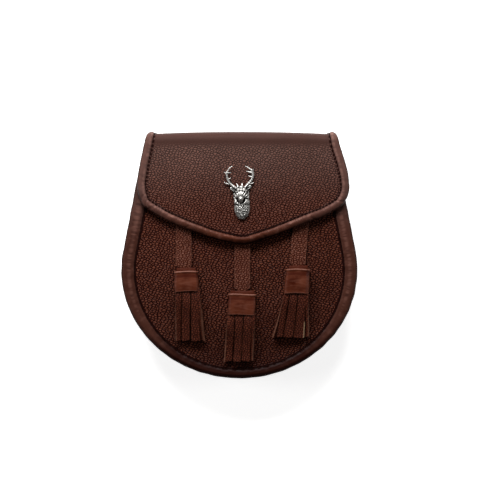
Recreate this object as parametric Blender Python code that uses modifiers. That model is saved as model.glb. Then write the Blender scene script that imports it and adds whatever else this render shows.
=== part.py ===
"""A leather day sporran pouch lying on its back.

+Z is the pouch's front, +Y its top edge and +X its right side as seen from the front.
The origin lies on the floor under the middle of the pouch.
"""

import math
from collections import namedtuple

import bmesh
import bpy
import numpy as np
from mathutils import Vector

# Leather and seams
GAP = 0.0003  # between pieces that touch
LEATHER = 0.0018  # panels, flap and straps
THIN_LEATHER = 0.0014  # gusset
BINDING_WALL = 0.0012

# Body outline as seen from the front: half an ellipse below, sides that draw in above
BODY_HALF_WIDTH = 0.1017
BODY_WIDEST_Y = -0.0129
BODY_BOTTOM_Y = -0.1062
BODY_TOP_Y = 0.0950  # the seams end here, under the flap's fold
BODY_SIDE_TAPER = 0.193
ARC_SEGMENTS = 30
SIDE_SEGMENTS = 3

# Body depth
BINDING_HEIGHT = 2 * BINDING_WALL + LEATHER + THIN_LEATHER + 3 * GAP
FRONT_BINDING_Z = 0.0275
BINDING_SIDE_WIDTH = 0.0128
BINDING_BOTTOM_WIDTH = 0.0092
BINDING_INNER_LEG = 0.0080
PANEL_INSET = 0.0018
GUSSET_INSET = 0.0093
GUSSET_FOLD = 0.0030  # how far the side wall folds inwards halfway
PANEL_CELLS = 14
PANEL_RIM = 0.10  # share of the half width that lies flat in the seam

# Swell of the front and hollow of the back
SWELL = 0.0060
SWELL_START = 0.0110  # distance from the outline
SWELL_REACH = 0.0460
SWELL_LOST_AT_TOP = 0.35
HOLLOW = 0.0060
HOLLOW_START = 0.0100
HOLLOW_REACH = 0.0300

# Flap
FLAP_LIFT = 0.0052  # middle of its leather above the front panel's face
FOLD_DEPTH = 0.0096
FOLD_BOW = 0.0017  # how much lower the fold is at its ends
FOLD_SQUARENESS = 0.6
HEM_HALF_WIDTH = 0.0670
HEM_Y = 0.0800
HEM_CLEARANCE = 0.0007
HEM_ROWS, FOLD_ROWS, FRONT_ROWS = 2, 8, 10
FLAP_COLUMNS = 18
FLAP_BINDING_REACH = 0.0016  # past the flap's leather
FLAP_BINDING_WIDTH = 0.0085
FLAP_BINDING_BACK_WIDTH = 0.0070
FLAP_BINDING_WALL = 0.0011
FLAP_BINDING_FIRST_ROW = 4

# The flap's outer edge on the front, from the left end of the fold round to the right end
EdgePoint = namedtuple("EdgePoint", "place x y")
FLAP_EDGE = (
    EdgePoint("left fold end", -0.0819, 0.0960),
    EdgePoint("left side", -0.0865, 0.0720),
    EdgePoint("left widest", -0.0878, 0.0595),
    EdgePoint("above left corner", -0.0863, 0.0498),
    EdgePoint("left corner", -0.0830, 0.0428),
    EdgePoint("below left corner", -0.0750, 0.0370),
    EdgePoint("left slope", -0.0414, 0.0209),
    EdgePoint("left of tip", -0.0120, 0.0114),
    EdgePoint("tip", 0.0050, 0.0091),
    EdgePoint("right of tip", 0.0200, 0.0132),
    EdgePoint("right slope", 0.0565, 0.0272),
    EdgePoint("below right corner", 0.0800, 0.0370),
    EdgePoint("right corner", 0.0902, 0.0450),
    EdgePoint("above right corner", 0.0945, 0.0552),
    EdgePoint("right side", 0.0943, 0.0640),
    EdgePoint("right fold end", 0.0861, 0.0960),
)

# Tassels. Widths and places are as seen from the front.
Tassel = namedtuple(
    "Tassel",
    "side strap_top_x strap_low_x strap_low_y cap_top_x cap_top_y cap_low_x cap_low_y"
    " cap_top_width cap_low_width tip_left_x tip_right_x tip_y",
)
TASSELS = (
    Tassel("left", -0.0477, -0.0477, -0.0100, -0.0455, -0.0137, -0.0450, -0.0312,
           0.0200, 0.0208, -0.0546, -0.0283, -0.0735),
    Tassel("middle", 0.0026, 0.0026, -0.0290, 0.0028, -0.0332, 0.0020, -0.0512,
           0.0237, 0.0228, -0.0135, 0.0124, -0.0911),
    Tassel("right", 0.0535, 0.0500, -0.0080, 0.0505, -0.0118, 0.0489, -0.0329,
           0.0198, 0.0216, 0.0282, 0.0601, -0.0705),
)
STRAP_WIDTH = 0.0134
STRAP_UNDER_FLAP = 0.0140  # length hidden by the flap
TONGUE_WIDTH = 0.0086  # the strap's end inside the tassel's head
TONGUE_LENGTH = 0.0080
CLEAR_OF_PANEL = 0.0004
CAP_WALL = 0.0012
CAP_CORNER = 0.0024
FRINGE_LEATHER = 0.0016
LIP_HEIGHT = 0.0030  # the head shows this much above its cap
POCKET = LEATHER + 2 * GAP
FRONT_STRIPS = 5
BACK_STRIPS = 4
SLIT = 0.0005
HEAD_FLAT = 0.84  # share of the head's width that is flat
TIP_HEIGHT = 0.0046  # of the front strips' faces above the panel
FRINGE_BENDS = (0.15, 0.4, 0.7, 1.0)  # shares of a strip's length

# Stag's head badge
BADGE_X = 0.0015
BADGE_Y = 0.0520
ANTLER_SIDES = 1  # bevel resolution, six sides

# Hanging loops on the back
LOOP_X = 0.0380
LOOP_WIDTH = 0.0200
LOOP_TOP_Y = 0.0700
LOOP_FOOT = 0.0070
LOOP_RAMP = 0.0050
LOOP_OPENING = 0.0260
LOOP_UNDERSIDE_Z = 0.0003

# Closing stud between flap and front
STUD_X = 0.0015
STUD_Y = 0.0340
STUD_RADIUS = 0.0060

COLLECTION = "sporran_pouch"

# Colours seen, as linear red, green and blue, then roughness and metallic value
Finish = namedtuple("Finish", "colour roughness metallic")
FINISHES = {
    "grain_leather": Finish((0.060, 0.022, 0.016), 0.55, 0.0),
    "binding_leather": Finish((0.078, 0.030, 0.022), 0.42, 0.0),
    "strap_leather": Finish((0.095, 0.034, 0.020), 0.50, 0.0),
    "cap_leather": Finish((0.120, 0.036, 0.018), 0.35, 0.0),
    "fringe_leather": Finish((0.052, 0.017, 0.010), 0.55, 0.0),
    "pewter": Finish((0.420, 0.410, 0.390), 0.35, 1.0),
    "steel": Finish((0.350, 0.345, 0.335), 0.30, 1.0),
}


# ---- small helpers


def smooth(value):
    """Rises from 0 to 1 with level ends."""
    value = np.clip(value, 0.0, 1.0)
    return value * value * (3.0 - 2.0 * value)


def mix(a, b, share):
    return a + (b - a) * share


def clear_scene():
    for old in list(bpy.data.objects):
        bpy.data.objects.remove(old)


def collection(name):
    made = bpy.data.collections.new(name)
    bpy.context.scene.collection.children.link(made)
    return made


def material(name, finish):
    made = bpy.data.materials.new(name)
    made.use_nodes = True
    shader = made.node_tree.nodes["Principled BSDF"]
    values = FINISHES[finish]
    shader.inputs["Base Color"].default_value = (*values.colour, 1.0)
    shader.inputs["Roughness"].default_value = values.roughness
    shader.inputs["Metallic"].default_value = values.metallic
    made.diffuse_color = (*values.colour, 1.0)
    return made


def add_object(name, mesh, target, finish=None):
    made = bpy.data.objects.new(name, mesh)
    target.objects.link(made)
    if finish:
        mesh.materials.append(material(name + "_" + finish, finish))
        mesh.shade_smooth()
        mesh.set_sharp_from_angle(angle=math.radians(40))
    return made


def mesh_from(bm, name):
    mesh = bpy.data.meshes.new(name)
    bm.to_mesh(mesh)
    bm.free()
    return mesh


def solidify(thing, thickness, offset):
    shell = thing.modifiers.new("thickness", "SOLIDIFY")
    shell.thickness = thickness
    shell.offset = offset
    shell.use_even_offset = True
    return shell


def sheet(name, columns, rows, place, thickness, offset, target, finish):
    """A leather sheet: a grid laid out by place(across, along), both 0 to 1, and thickened."""
    bm = bmesh.new()
    bmesh.ops.create_grid(bm, x_segments=columns, y_segments=rows, size=1.0)
    for vert in bm.verts:
        vert.co = place((vert.co.x + 1) / 2, (vert.co.y + 1) / 2)
    thing = add_object(name, mesh_from(bm, name), target, finish)
    solidify(thing, thickness, offset)
    return thing


def loft(name, rings, target, finish):
    """A solid through closed rings with the same number of points, flat at both ends."""
    bm = bmesh.new()
    loops = [[bm.verts.new(point) for point in ring] for ring in rings]
    count = len(loops[0])
    for near, far in zip(loops, loops[1:]):
        for i in range(count):
            j = (i + 1) % count
            bm.faces.new((near[i], near[j], far[j], far[i]))
    bm.faces.new(loops[0][::-1])
    bm.faces.new(loops[-1])
    bmesh.ops.recalc_face_normals(bm, faces=bm.faces)
    return add_object(name, mesh_from(bm, name), target, finish)


# ---- body outline


def lower_drop():
    return BODY_WIDEST_Y - BODY_BOTTOM_Y


def side_turn():
    """The angle on the ellipse above its widest point where the straight sides begin."""
    return math.atan(BODY_SIDE_TAPER * lower_drop() / BODY_HALF_WIDTH)


def rim_stations():
    """Points and outward directions along the seam, from top left round to top right."""
    turn = side_turn()
    stations = []
    for angle in np.linspace(math.pi - turn, 2 * math.pi + turn, ARC_SEGMENTS + 1):
        point = Vector((BODY_HALF_WIDTH * math.cos(angle),
                        BODY_WIDEST_Y + lower_drop() * math.sin(angle), 0.0))
        outward = Vector((math.cos(angle) / BODY_HALF_WIDTH, math.sin(angle) / lower_drop(), 0.0))
        stations.append((point, outward.normalized()))
    right_start, right_out = stations[-1]
    left_start, left_out = stations[0]
    rise = BODY_TOP_Y - right_start.y
    left, right = [], []
    for step in range(1, SIDE_SEGMENTS + 1):
        up = rise * step / SIDE_SEGMENTS
        right.append((right_start + Vector((-BODY_SIDE_TAPER * up, up, 0.0)), right_out))
        left.append((left_start + Vector((BODY_SIDE_TAPER * up, up, 0.0)), left_out))
    return left[::-1] + stations + right


def half_width(y):
    """Half the body's width at a height on the front."""
    start_y = BODY_WIDEST_Y + lower_drop() * math.sin(side_turn())
    if y > start_y:
        return BODY_HALF_WIDTH * math.cos(side_turn()) - BODY_SIDE_TAPER * (y - start_y)
    level = min(1.0, abs(y - BODY_WIDEST_Y) / lower_drop())
    return BODY_HALF_WIDTH * math.sqrt(1.0 - level * level)


def outline_points():
    """A dense run of points along the seam, for measuring distances from it."""
    points = np.array([station[0][:2] for station in rim_stations()])
    steps = np.linspace(0, len(points) - 1, 20 * (len(points) - 1) + 1)
    index = np.arange(len(points))
    return np.column_stack([np.interp(steps, index, points[:, axis]) for axis in (0, 1)])


OUTLINE = outline_points()


def inset(x, y):
    """How far inside the body's side and bottom outline a place lies."""
    if abs(x) >= half_width(y):
        return 0.0
    return float(np.min(np.hypot(OUTLINE[:, 0] - x, OUTLINE[:, 1] - y)))


def front_height(x, y):
    """Height of the front panel's outer face."""
    rim = FRONT_BINDING_Z + BINDING_HEIGHT - BINDING_WALL - GAP
    kept = 1.0 - SWELL_LOST_AT_TOP * smooth((y - 0.060) / 0.040)
    return rim + SWELL * kept * smooth((inset(x, y) - SWELL_START) / SWELL_REACH)


def back_height(x, y):
    """Height of the back panel's inner face."""
    rim = BINDING_WALL + GAP + LEATHER
    return rim + HOLLOW * smooth((inset(x, y) - HOLLOW_START) / HOLLOW_REACH)


# ---- body


def panel_line(cell, both_ends):
    """A grid line's place from -1 to 1, with one line where the flat rim ends."""
    first, last = 1, PANEL_CELLS - 1 if both_ends else PANEL_CELLS
    if cell < first:
        return -1.0
    if cell > last:
        return 1.0
    end = 1.0 - PANEL_RIM if both_ends else 1.0
    return mix(PANEL_RIM - 1.0, end, (cell - first) / (last - first))


def panel_plan(across, along):
    """A place on a panel: the lower half of a disc below, the tapering sides above."""
    u = panel_line(round(across * PANEL_CELLS), True)
    v = panel_line(round(along * PANEL_CELLS), False)
    if v < 0:
        x = u * math.sqrt(1 - v * v / 2) * (BODY_HALF_WIDTH - PANEL_INSET)
        y = v * math.sqrt(1 - u * u / 2) * (lower_drop() - PANEL_INSET)
        return x, BODY_WIDEST_Y + y
    y = BODY_WIDEST_Y + v * (BODY_TOP_Y - BODY_WIDEST_Y)
    return u * (half_width(y) - PANEL_INSET), y


def build_panel(name, height, target):
    def place(across, along):
        x, y = panel_plan(across, along)
        return x, y, height(x, y)

    return sheet(name, PANEL_CELLS, PANEL_CELLS, place, LEATHER, -1, target, "grain_leather")


def binding_section(width, leg, flip):
    """The folded binding round a seam, as pairs of inset and height, its narrow leg inside."""
    top = BINDING_HEIGHT
    slot_low = BINDING_WALL
    slot_high = BINDING_HEIGHT - BINDING_WALL
    slot_end = BINDING_WALL + GAP
    section = (
        (width, slot_high),
        (width - 0.0002, slot_high + 0.0007),
        (width - 0.0025, top),
        (0.0030, top),
        (0.0009, top - 0.0006),
        (0.0, top - 0.0022),
        (0.0, 0.0022),
        (0.0009, 0.0006),
        (0.0030, 0.0),
        (leg, 0.0),
        (leg, slot_low),
        (slot_end, slot_low),
        (slot_end, slot_high),
    )
    if flip:
        return tuple((across, BINDING_HEIGHT - up) for across, up in section)
    return section


def build_body_binding(name, base_z, flip, target):
    rings = []
    for point, outward in rim_stations():
        low = max(0.0, -outward.y) ** 2
        width = mix(BINDING_SIDE_WIDTH, BINDING_BOTTOM_WIDTH, low)
        rings.append([point - outward * across + Vector((0, 0, base_z + up))
                      for across, up in binding_section(width, BINDING_INNER_LEG, flip)])
    return loft(name, rings, target, "binding_leather")


def build_gusset(target):
    """The side wall: a flange under each binding and a wall that folds inwards between them."""
    flange_front = FRONT_BINDING_Z + BINDING_WALL + GAP + THIN_LEATHER / 2
    flange_back = BINDING_HEIGHT - BINDING_WALL - GAP - THIN_LEATHER / 2
    middle = (flange_front + flange_back) / 2
    quarter = (flange_front - flange_back) / 4
    section = (
        (PANEL_INSET, flange_front),
        (GUSSET_INSET, flange_front),
        (GUSSET_INSET + GUSSET_FOLD * 0.8, middle + quarter),
        (GUSSET_INSET + GUSSET_FOLD, middle),
        (GUSSET_INSET + GUSSET_FOLD * 0.8, middle - quarter),
        (GUSSET_INSET, flange_back),
        (PANEL_INSET, flange_back),
    )
    stations = rim_stations()

    def place(across, along):
        point, outward = stations[round(across * (len(stations) - 1))]
        inwards, height = section[round(along * (len(section) - 1))]
        return point - outward * inwards + Vector((0, 0, height))

    return sheet("gusset", len(stations) - 1, len(section) - 1, place, THIN_LEATHER, 0,
                 target, "grain_leather")


# ---- flap


def smooth_run(points, steps):
    """A smooth curve through points, with the given number of steps between each two."""
    points = np.array(points)
    lengths = np.hypot(*np.diff(points, axis=0).T)
    knots = np.concatenate([[0.0], np.cumsum(lengths)])
    slopes = np.gradient(points, knots, axis=0)
    run = [points[0]]
    for i, length in enumerate(lengths):
        for t in np.linspace(0, 1, steps + 1)[1:]:
            run.append((2 * t**3 - 3 * t**2 + 1) * points[i]
                       + (t**3 - 2 * t**2 + t) * length * slopes[i]
                       + (3 * t**2 - 2 * t**3) * points[i + 1]
                       + (t**3 - t**2) * length * slopes[i + 1])
    return np.array(run)


def offset_run(run, distance):
    """The curve moved to the left of its own direction."""
    slopes = np.gradient(run, axis=0)
    slopes /= np.hypot(slopes[:, 0], slopes[:, 1])[:, None]
    return run + distance * np.column_stack([-slopes[:, 1], slopes[:, 0]])


def along_run(run, share):
    """The point a share of the way along a curve."""
    lengths = np.concatenate([[0.0], np.cumsum(np.hypot(*np.diff(run, axis=0).T))])
    at = share * lengths[-1]
    return np.array([np.interp(at, lengths, run[:, axis]) for axis in (0, 1)])


def flap_sides():
    """The leather's left side, lower edge and right side, inside the binding's outer edge."""
    steps = 12
    run = smooth_run([(row.x, row.y) for row in FLAP_EDGE], steps)
    run = offset_run(run, FLAP_BINDING_REACH)
    corners = {row.place: i * steps for i, row in enumerate(FLAP_EDGE)}
    left = run[:corners["left corner"] + 1]
    lower = run[corners["left corner"]:corners["right corner"] + 1]
    right = run[corners["right corner"]:]
    return left, lower, right[::-1]


FLAP_LEFT, FLAP_LOWER, FLAP_RIGHT = flap_sides()


def flap_plan(across, down):
    """A place on the flap's front, blended from its four edges."""
    left, right = along_run(FLAP_LEFT, down), along_run(FLAP_RIGHT, down)
    top = mix(FLAP_LEFT[0], FLAP_RIGHT[0], across)
    low = along_run(FLAP_LOWER, across)
    corners = mix(mix(FLAP_LEFT[0], FLAP_RIGHT[0], across),
                  mix(FLAP_LEFT[-1], FLAP_RIGHT[-1], across), down)
    return mix(top, low, down) + mix(left, right, across) - corners


def flap_height(x, y):
    return front_height(x, y) + FLAP_LIFT


def hem_height(x, y):
    return back_height(x, y) + HEM_CLEARANCE + LEATHER / 2


def fold_point(across, turn):
    """A place on the fold over the top; turn is 0 at the front and 1 at the back."""
    start_y = FLAP_LEFT[0][1]
    angle = math.pi * turn
    out = abs(math.sin(angle)) ** FOLD_SQUARENESS if 0 < turn < 1 else 0.0
    level = math.copysign(abs(math.cos(angle)) ** FOLD_SQUARENESS, math.cos(angle))
    drawn_in = BODY_SIDE_TAPER * FOLD_DEPTH * out
    to_hem = float(smooth((turn - 0.72) / 0.28))
    left = mix(FLAP_LEFT[0][0] + drawn_in, -HEM_HALF_WIDTH, to_hem)
    right = mix(FLAP_RIGHT[0][0] - drawn_in, HEM_HALF_WIDTH, to_hem)
    x = mix(left, right, across)
    bow = FOLD_BOW * (x / BODY_HALF_WIDTH / 0.8) ** 2
    y = start_y + (FOLD_DEPTH - bow) * out
    high, low = flap_height(x, start_y), hem_height(x, start_y)
    return Vector((x, y, (high + low) / 2 + (high - low) / 2 * level))


def flap_point(across, row):
    """The middle of the flap's leather, by rows from the hem over the fold to the lower edge."""
    if row < HEM_ROWS:
        start_y = FLAP_LEFT[0][1]
        x = mix(-HEM_HALF_WIDTH, HEM_HALF_WIDTH, across)
        y = mix(HEM_Y, start_y, row / HEM_ROWS)
        return Vector((x, y, hem_height(x, y)))
    if row < HEM_ROWS + FOLD_ROWS:
        return fold_point(across, 1.0 - (row - HEM_ROWS) / FOLD_ROWS)
    x, y = flap_plan(across, (row - HEM_ROWS - FOLD_ROWS) / FRONT_ROWS)
    return Vector((x, y, flap_height(x, y)))


def flap_rows():
    return HEM_ROWS + FOLD_ROWS + FRONT_ROWS


def column_share(column):
    """Where a column stands across the flap, closer together near both sides."""
    share = column / FLAP_COLUMNS
    return share - 0.08 * math.sin(2 * math.pi * share)


def build_flap(target):
    def place(across, along):
        return flap_point(column_share(across * FLAP_COLUMNS), round(along * flap_rows()))

    return sheet("flap", FLAP_COLUMNS, flap_rows(), place, LEATHER, 0, target, "grain_leather")


def flap_frame(across, row):
    """The flap's point, its direction to the right and its outward face direction there."""
    step = 0.004
    west, east = max(0.0, across - step), min(1.0, across + step)
    up, down = max(0.0, row - 0.5), min(flap_rows(), row + 0.5)
    sideways = flap_point(east, row) - flap_point(west, row)
    downwards = flap_point(across, down) - flap_point(across, up)
    return (flap_point(across, row), sideways.normalized(),
            downwards.cross(sideways).normalized())


def flap_binding_path():
    """Stations along the flap's sides and lower edge, as shares across and rows."""
    rows = range(FLAP_BINDING_FIRST_ROW, flap_rows() + 1)
    left = [(0.0, row) for row in rows]
    lower = [(column_share(column), flap_rows()) for column in range(1, FLAP_COLUMNS)]
    return left + lower + [(1.0, row) for row in reversed(rows)]


def flap_binding_section():
    """The rolled binding, as pairs of distance inside the leather's edge and height."""
    high = LEATHER / 2 + GAP + FLAP_BINDING_WALL
    slot = LEATHER / 2 + GAP
    out = -FLAP_BINDING_REACH
    top_in = FLAP_BINDING_WIDTH - FLAP_BINDING_REACH
    back_in = FLAP_BINDING_BACK_WIDTH - FLAP_BINDING_REACH
    return (
        (top_in, slot),
        (top_in - 0.0012, high),
        (0.0014, high),
        (out + 0.0008, high - 0.0007),
        (out, 0.0008),
        (out, -0.0008),
        (out + 0.0008, 0.0007 - high),
        (0.0014, -high),
        (back_in, -high),
        (back_in, -slot),
        (-GAP, -slot),
        (-GAP, slot),
    )


def build_flap_binding(target):
    path = flap_binding_path()
    frames = [flap_frame(across, row) for across, row in path]
    points = [point for point, sideways, face in frames]
    rings = []
    for i, (point, sideways, face) in enumerate(frames):
        before, after = points[max(0, i - 1)], points[min(len(points) - 1, i + 1)]
        if path[i][1] <= HEM_ROWS + FOLD_ROWS:
            inwards = sideways if path[i][0] < 0.5 else -sideways
        else:
            inwards = face.cross(after - before).normalized()
        rings.append([point + inwards * across + face * up
                      for across, up in flap_binding_section()])
    return loft("flap_binding", rings, target, "binding_leather")


# ---- tassels


def drape(x, y, height):
    """A point at a height above the front panel's face."""
    return Vector((x, y, front_height(x, y) + height))


def head_plane(tassel, x, y, height):
    """A point at a height above the level that the tassel's head lies on."""
    middle_x = (tassel.cap_top_x + tassel.cap_low_x) / 2
    middle_y = (tassel.cap_top_y + tassel.cap_low_y) / 2
    step = 0.006
    slope_x = front_height(middle_x + step, middle_y) - front_height(middle_x - step, middle_y)
    slope_y = front_height(middle_x, middle_y + step) - front_height(middle_x, middle_y - step)
    level = (front_height(middle_x, middle_y) + slope_x / (2 * step) * (x - middle_x)
             + slope_y / (2 * step) * (y - middle_y))
    return Vector((x, y, level + height))


def head_levels():
    """Heights above the panel of the back and front of the head inside its cap."""
    low = CLEAR_OF_PANEL + CAP_WALL + GAP
    return low, low + 2 * FRINGE_LEATHER + POCKET


def build_strap(tassel, target):
    """A flat strap that lies on the front and ends in a tongue inside the tassel's head."""
    flap_low = min(along_run(FLAP_LOWER, share)[1] for share in np.linspace(0, 1, 200)
                   if abs(along_run(FLAP_LOWER, share)[0] - tassel.strap_top_x) < STRAP_WIDTH)
    top_y = flap_low + STRAP_UNDER_FLAP
    tongue_y = tassel.strap_low_y - TONGUE_LENGTH
    lying = CLEAR_OF_PANEL + LEATHER / 2
    raised = sum(head_levels()) / 2
    rows = (
        (top_y, STRAP_WIDTH, 0.0),
        (mix(top_y, tassel.strap_low_y, 0.3), STRAP_WIDTH, 0.0),
        (mix(top_y, tassel.strap_low_y, 0.6), STRAP_WIDTH, 0.1),
        (mix(top_y, tassel.strap_low_y, 0.8), STRAP_WIDTH, 0.6),
        (tassel.strap_low_y + 0.0004, STRAP_WIDTH, 1.0),
        (tassel.strap_low_y - 0.0002, TONGUE_WIDTH, 1.0),
        (tongue_y, TONGUE_WIDTH, 1.0),
    )

    def place(across, along):
        y, width, rise = rows[len(rows) - 1 - round(along * (len(rows) - 1))]
        middle = mix(tassel.strap_low_x, tassel.strap_top_x,
                     (y - tassel.strap_low_y) / (top_y - tassel.strap_low_y))
        if width < STRAP_WIDTH:
            middle = mix(tassel.cap_top_x, tassel.strap_low_x, 0.3)
        x = middle + (across - 0.5) * width
        return mix(drape(x, y, lying), head_plane(tassel, x, y, raised), rise)

    return sheet("tassel_strap_" + tassel.side, 2, len(rows) - 1, place, LEATHER, 0,
                 target, "strap_leather")


def rounded_ring(half_wide, low, high, corner):
    """A flat oval ring as pairs of distance across and height, anticlockwise from its right."""
    ring = []
    middles = ((half_wide - corner, high - corner, 0), (corner - half_wide, high - corner, 90),
               (corner - half_wide, low + corner, 180), (half_wide - corner, low + corner, 270))
    for x, z, start in middles:
        for angle in (start, start + 45, start + 90):
            turned = math.radians(angle)
            ring.append((x + corner * math.cos(turned), z + corner * math.sin(turned)))
    return ring


def head_place(tassel, along):
    """Middle, height on the front and full width of the head; along is 0 at the cap's top."""
    x = mix(tassel.cap_top_x, tassel.cap_low_x, along)
    y = mix(tassel.cap_top_y, tassel.cap_low_y, along)
    return x, y, mix(tassel.cap_top_width, tassel.cap_low_width, along)


def build_cap(tassel, target):
    """The wrapped band: a flat oval tube."""
    low, high = head_levels()
    rims = []
    for along in (0.0, 1.0):
        x, y, width = head_place(tassel, along)
        ring = rounded_ring(width / 2, low - GAP - CAP_WALL, high + GAP + CAP_WALL, CAP_CORNER)
        rims.append([head_plane(tassel, x + across, y, up) for across, up in ring])
    bm = bmesh.new()
    loops = [[bm.verts.new(point) for point in rim] for rim in rims]
    for i in range(len(loops[0])):
        j = (i + 1) % len(loops[0])
        bm.faces.new((loops[0][i], loops[0][j], loops[1][j], loops[1][i]))
    turn_outwards(bm)
    cap = add_object("tassel_cap_" + tassel.side,
                     mesh_from(bm, "tassel_cap_" + tassel.side), target, "cap_leather")
    solidify(cap, CAP_WALL, -1)
    return cap


def turn_outwards(bm):
    """Turns an open tube's faces so that the highest one points up."""
    bm.normal_update()
    highest = max(bm.faces, key=lambda face: face.calc_center_median().z)
    if highest.normal.z < 0:
        bmesh.ops.reverse_faces(bm, faces=bm.faces)


def strip_edges(count, slit_share):
    """Left and right edge of each strip across a width from -1 to 1."""
    edges = []
    for i in range(count):
        edges.append(-1 + 2 * i / count + (slit_share if i else 0.0))
        edges.append(-1 + 2 * (i + 1) / count - (slit_share if i < count - 1 else 0.0))
    return edges


def build_fringe(tassel, target):
    """A sheet rolled into a flat tube round the strap's end and cut into strips below it."""
    low, high = head_levels()
    wall = 2 * (CAP_WALL + GAP)
    slit_share = SLIT / tassel.cap_top_width
    front = strip_edges(FRONT_STRIPS, slit_share)
    back = strip_edges(BACK_STRIPS, slit_share)[::-1]
    columns = [(share * HEAD_FLAT, "front", i % 2 == 0) for i, share in enumerate(front)]
    columns.append((1.0, "side", False))
    columns += [(share * HEAD_FLAT, "back", i % 2 == 0) for i, share in enumerate(back)]
    columns.append((-1.0, "side", False))

    def head_row(along, lift_y=0.0):
        x, y, width = head_place(tassel, along)
        half = (width - wall) / 2
        levels = {"front": high, "side": (low + high) / 2, "back": low}
        return [head_plane(tassel, x + share * half, y + lift_y, levels[side])
                for share, side, _ in columns]

    def fringe_row(down):
        x, y, width = head_place(tassel, 1.0)
        half = mix(width - wall, width, float(smooth(down * 5))) / 2
        half = mix(half, (tassel.tip_right_x - tassel.tip_left_x) / 2, down)
        middle = mix(x, (tassel.tip_right_x + tassel.tip_left_x) / 2, down)
        levels = {"front": mix(high, TIP_HEIGHT, float(smooth(down))), "side": (low + high) / 2,
                  "back": mix(low, CLEAR_OF_PANEL, float(smooth(down * 2)))}
        end_y = mix(y, tassel.tip_y, down)
        spread = {"front": mix(1.0, 1.0 / HEAD_FLAT, float(smooth(down * 5))),
                  "side": 1.0, "back": mix(1.0, 1.06, down)}
        row = []
        for share, side, _ in columns:
            place = (middle + share * spread[side] * half, end_y, levels[side])
            row.append(mix(head_plane(tassel, *place), drape(*place), float(smooth(down * 2))))
        return row

    head = [head_row(0.0, LIP_HEIGHT), head_row(0.0), head_row(1.0), fringe_row(0.02)]
    strips = [fringe_row(down) for down in FRINGE_BENDS]
    bm = bmesh.new()
    verts = [[bm.verts.new(point) for point in row] for row in head]
    count = len(columns)
    for upper, lower in zip(verts, verts[1:]):
        for i in range(count):
            j = (i + 1) % count
            bm.faces.new((upper[i], lower[i], lower[j], upper[j]))
    above = verts[-1]
    for row in strips:
        below = [bm.verts.new(point) if columns[i][1] != "side" else None
                 for i, point in enumerate(row)]
        for i in range(count - 1):
            if columns[i][2]:
                bm.faces.new((above[i], below[i], below[i + 1], above[i + 1]))
        above = below
    turn_outwards(bm)
    name = "tassel_fringe_" + tassel.side
    fringe = add_object(name, mesh_from(bm, name), target, "fringe_leather")
    solidify(fringe, FRINGE_LEATHER, -1)
    return fringe


# ---- badge


def ball(name, centre, radii, segments, rings, target):
    """An ellipsoid in the badge's own coordinates, in millimetres."""
    bm = bmesh.new()
    bmesh.ops.create_uvsphere(bm, u_segments=segments, v_segments=rings, radius=0.001)
    bmesh.ops.scale(bm, vec=radii, verts=bm.verts)
    thing = add_object(name, mesh_from(bm, name), target)
    thing.location = Vector(centre) * 0.001
    return thing


def horn(name, points, thick, thin, target):
    """A tapering bar through points given in millimetres."""
    curve = bpy.data.curves.new(name, "CURVE")
    curve.dimensions = "3D"
    curve.bevel_depth = 0.001
    curve.bevel_resolution = ANTLER_SIDES
    curve.use_fill_caps = True
    spline = curve.splines.new("POLY")
    spline.points.add(len(points) - 1)
    for i, (x, y, z) in enumerate(points):
        spline.points[i].co = (x * 0.001, y * 0.001, z * 0.001, 1.0)
        spline.points[i].radius = mix(thick, thin, i / (len(points) - 1))
    guide = bpy.data.objects.new(name + "_curve", curve)
    target.objects.link(guide)
    bpy.context.view_layer.update()
    depsgraph = bpy.context.evaluated_depsgraph_get()
    mesh = bpy.data.meshes.new_from_object(guide.evaluated_get(depsgraph))
    bpy.data.objects.remove(guide)
    bm = bmesh.new()
    bm.from_mesh(mesh)
    bmesh.ops.remove_doubles(bm, verts=bm.verts, dist=0.00001)
    bm.to_mesh(mesh)
    bm.free()
    return add_object(name, mesh, target)


# Antler bars in millimetres from the badge's middle: x outwards from the head, y up, z off the flap
Bar = namedtuple("Bar", "name thick thin points")
LEFT_ANTLER = (
    Bar("beam", 1.25, 0.45, ((-3.5, 3.6, 2.6), (-7.0, 6.4, 1.7), (-10.4, 10.6, 1.5),
                             (-12.0, 16.2, 1.5), (-11.4, 20.2, 1.4), (-7.6, 24.2, 1.1))),
    Bar("brow", 0.8, 0.35, ((-8.4, 8.2, 1.6), (-11.4, 8.6, 1.5), (-14.3, 10.2, 1.2))),
    Bar("outer", 0.85, 0.35, ((-11.9, 17.4, 1.4), (-13.2, 18.8, 1.3), (-14.3, 20.0, 1.1))),
    Bar("inner_low", 0.8, 0.3, ((-10.7, 12.6, 1.5), (-9.6, 13.6, 1.5), (-8.4, 14.6, 1.2))),
    Bar("inner_high", 0.8, 0.3, ((-11.8, 17.2, 1.5), (-10.2, 18.0, 1.5), (-8.4, 18.9, 1.2))),
)
RIGHT_ANTLER = (
    Bar("beam", 1.25, 0.45, ((3.5, 3.6, 2.6), (6.6, 6.8, 1.7), (9.3, 11.6, 1.5),
                             (10.5, 17.2, 1.5), (9.3, 21.2, 1.4), (3.9, 24.5, 1.1))),
    Bar("brow", 0.8, 0.35, ((7.6, 8.4, 1.6), (9.5, 9.2, 1.5), (11.4, 10.4, 1.2))),
    Bar("outer", 0.85, 0.35, ((10.3, 17.6, 1.4), (10.9, 19.6, 1.3), (11.2, 21.4, 1.1))),
    Bar("inner_low", 0.8, 0.3, ((9.9, 14.0, 1.5), (8.4, 14.8, 1.5), (6.6, 15.6, 1.2))),
    Bar("inner_high", 0.8, 0.3, ((10.4, 17.6, 1.5), (7.6, 18.6, 1.5), (4.8, 19.6, 1.2))),
)


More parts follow.
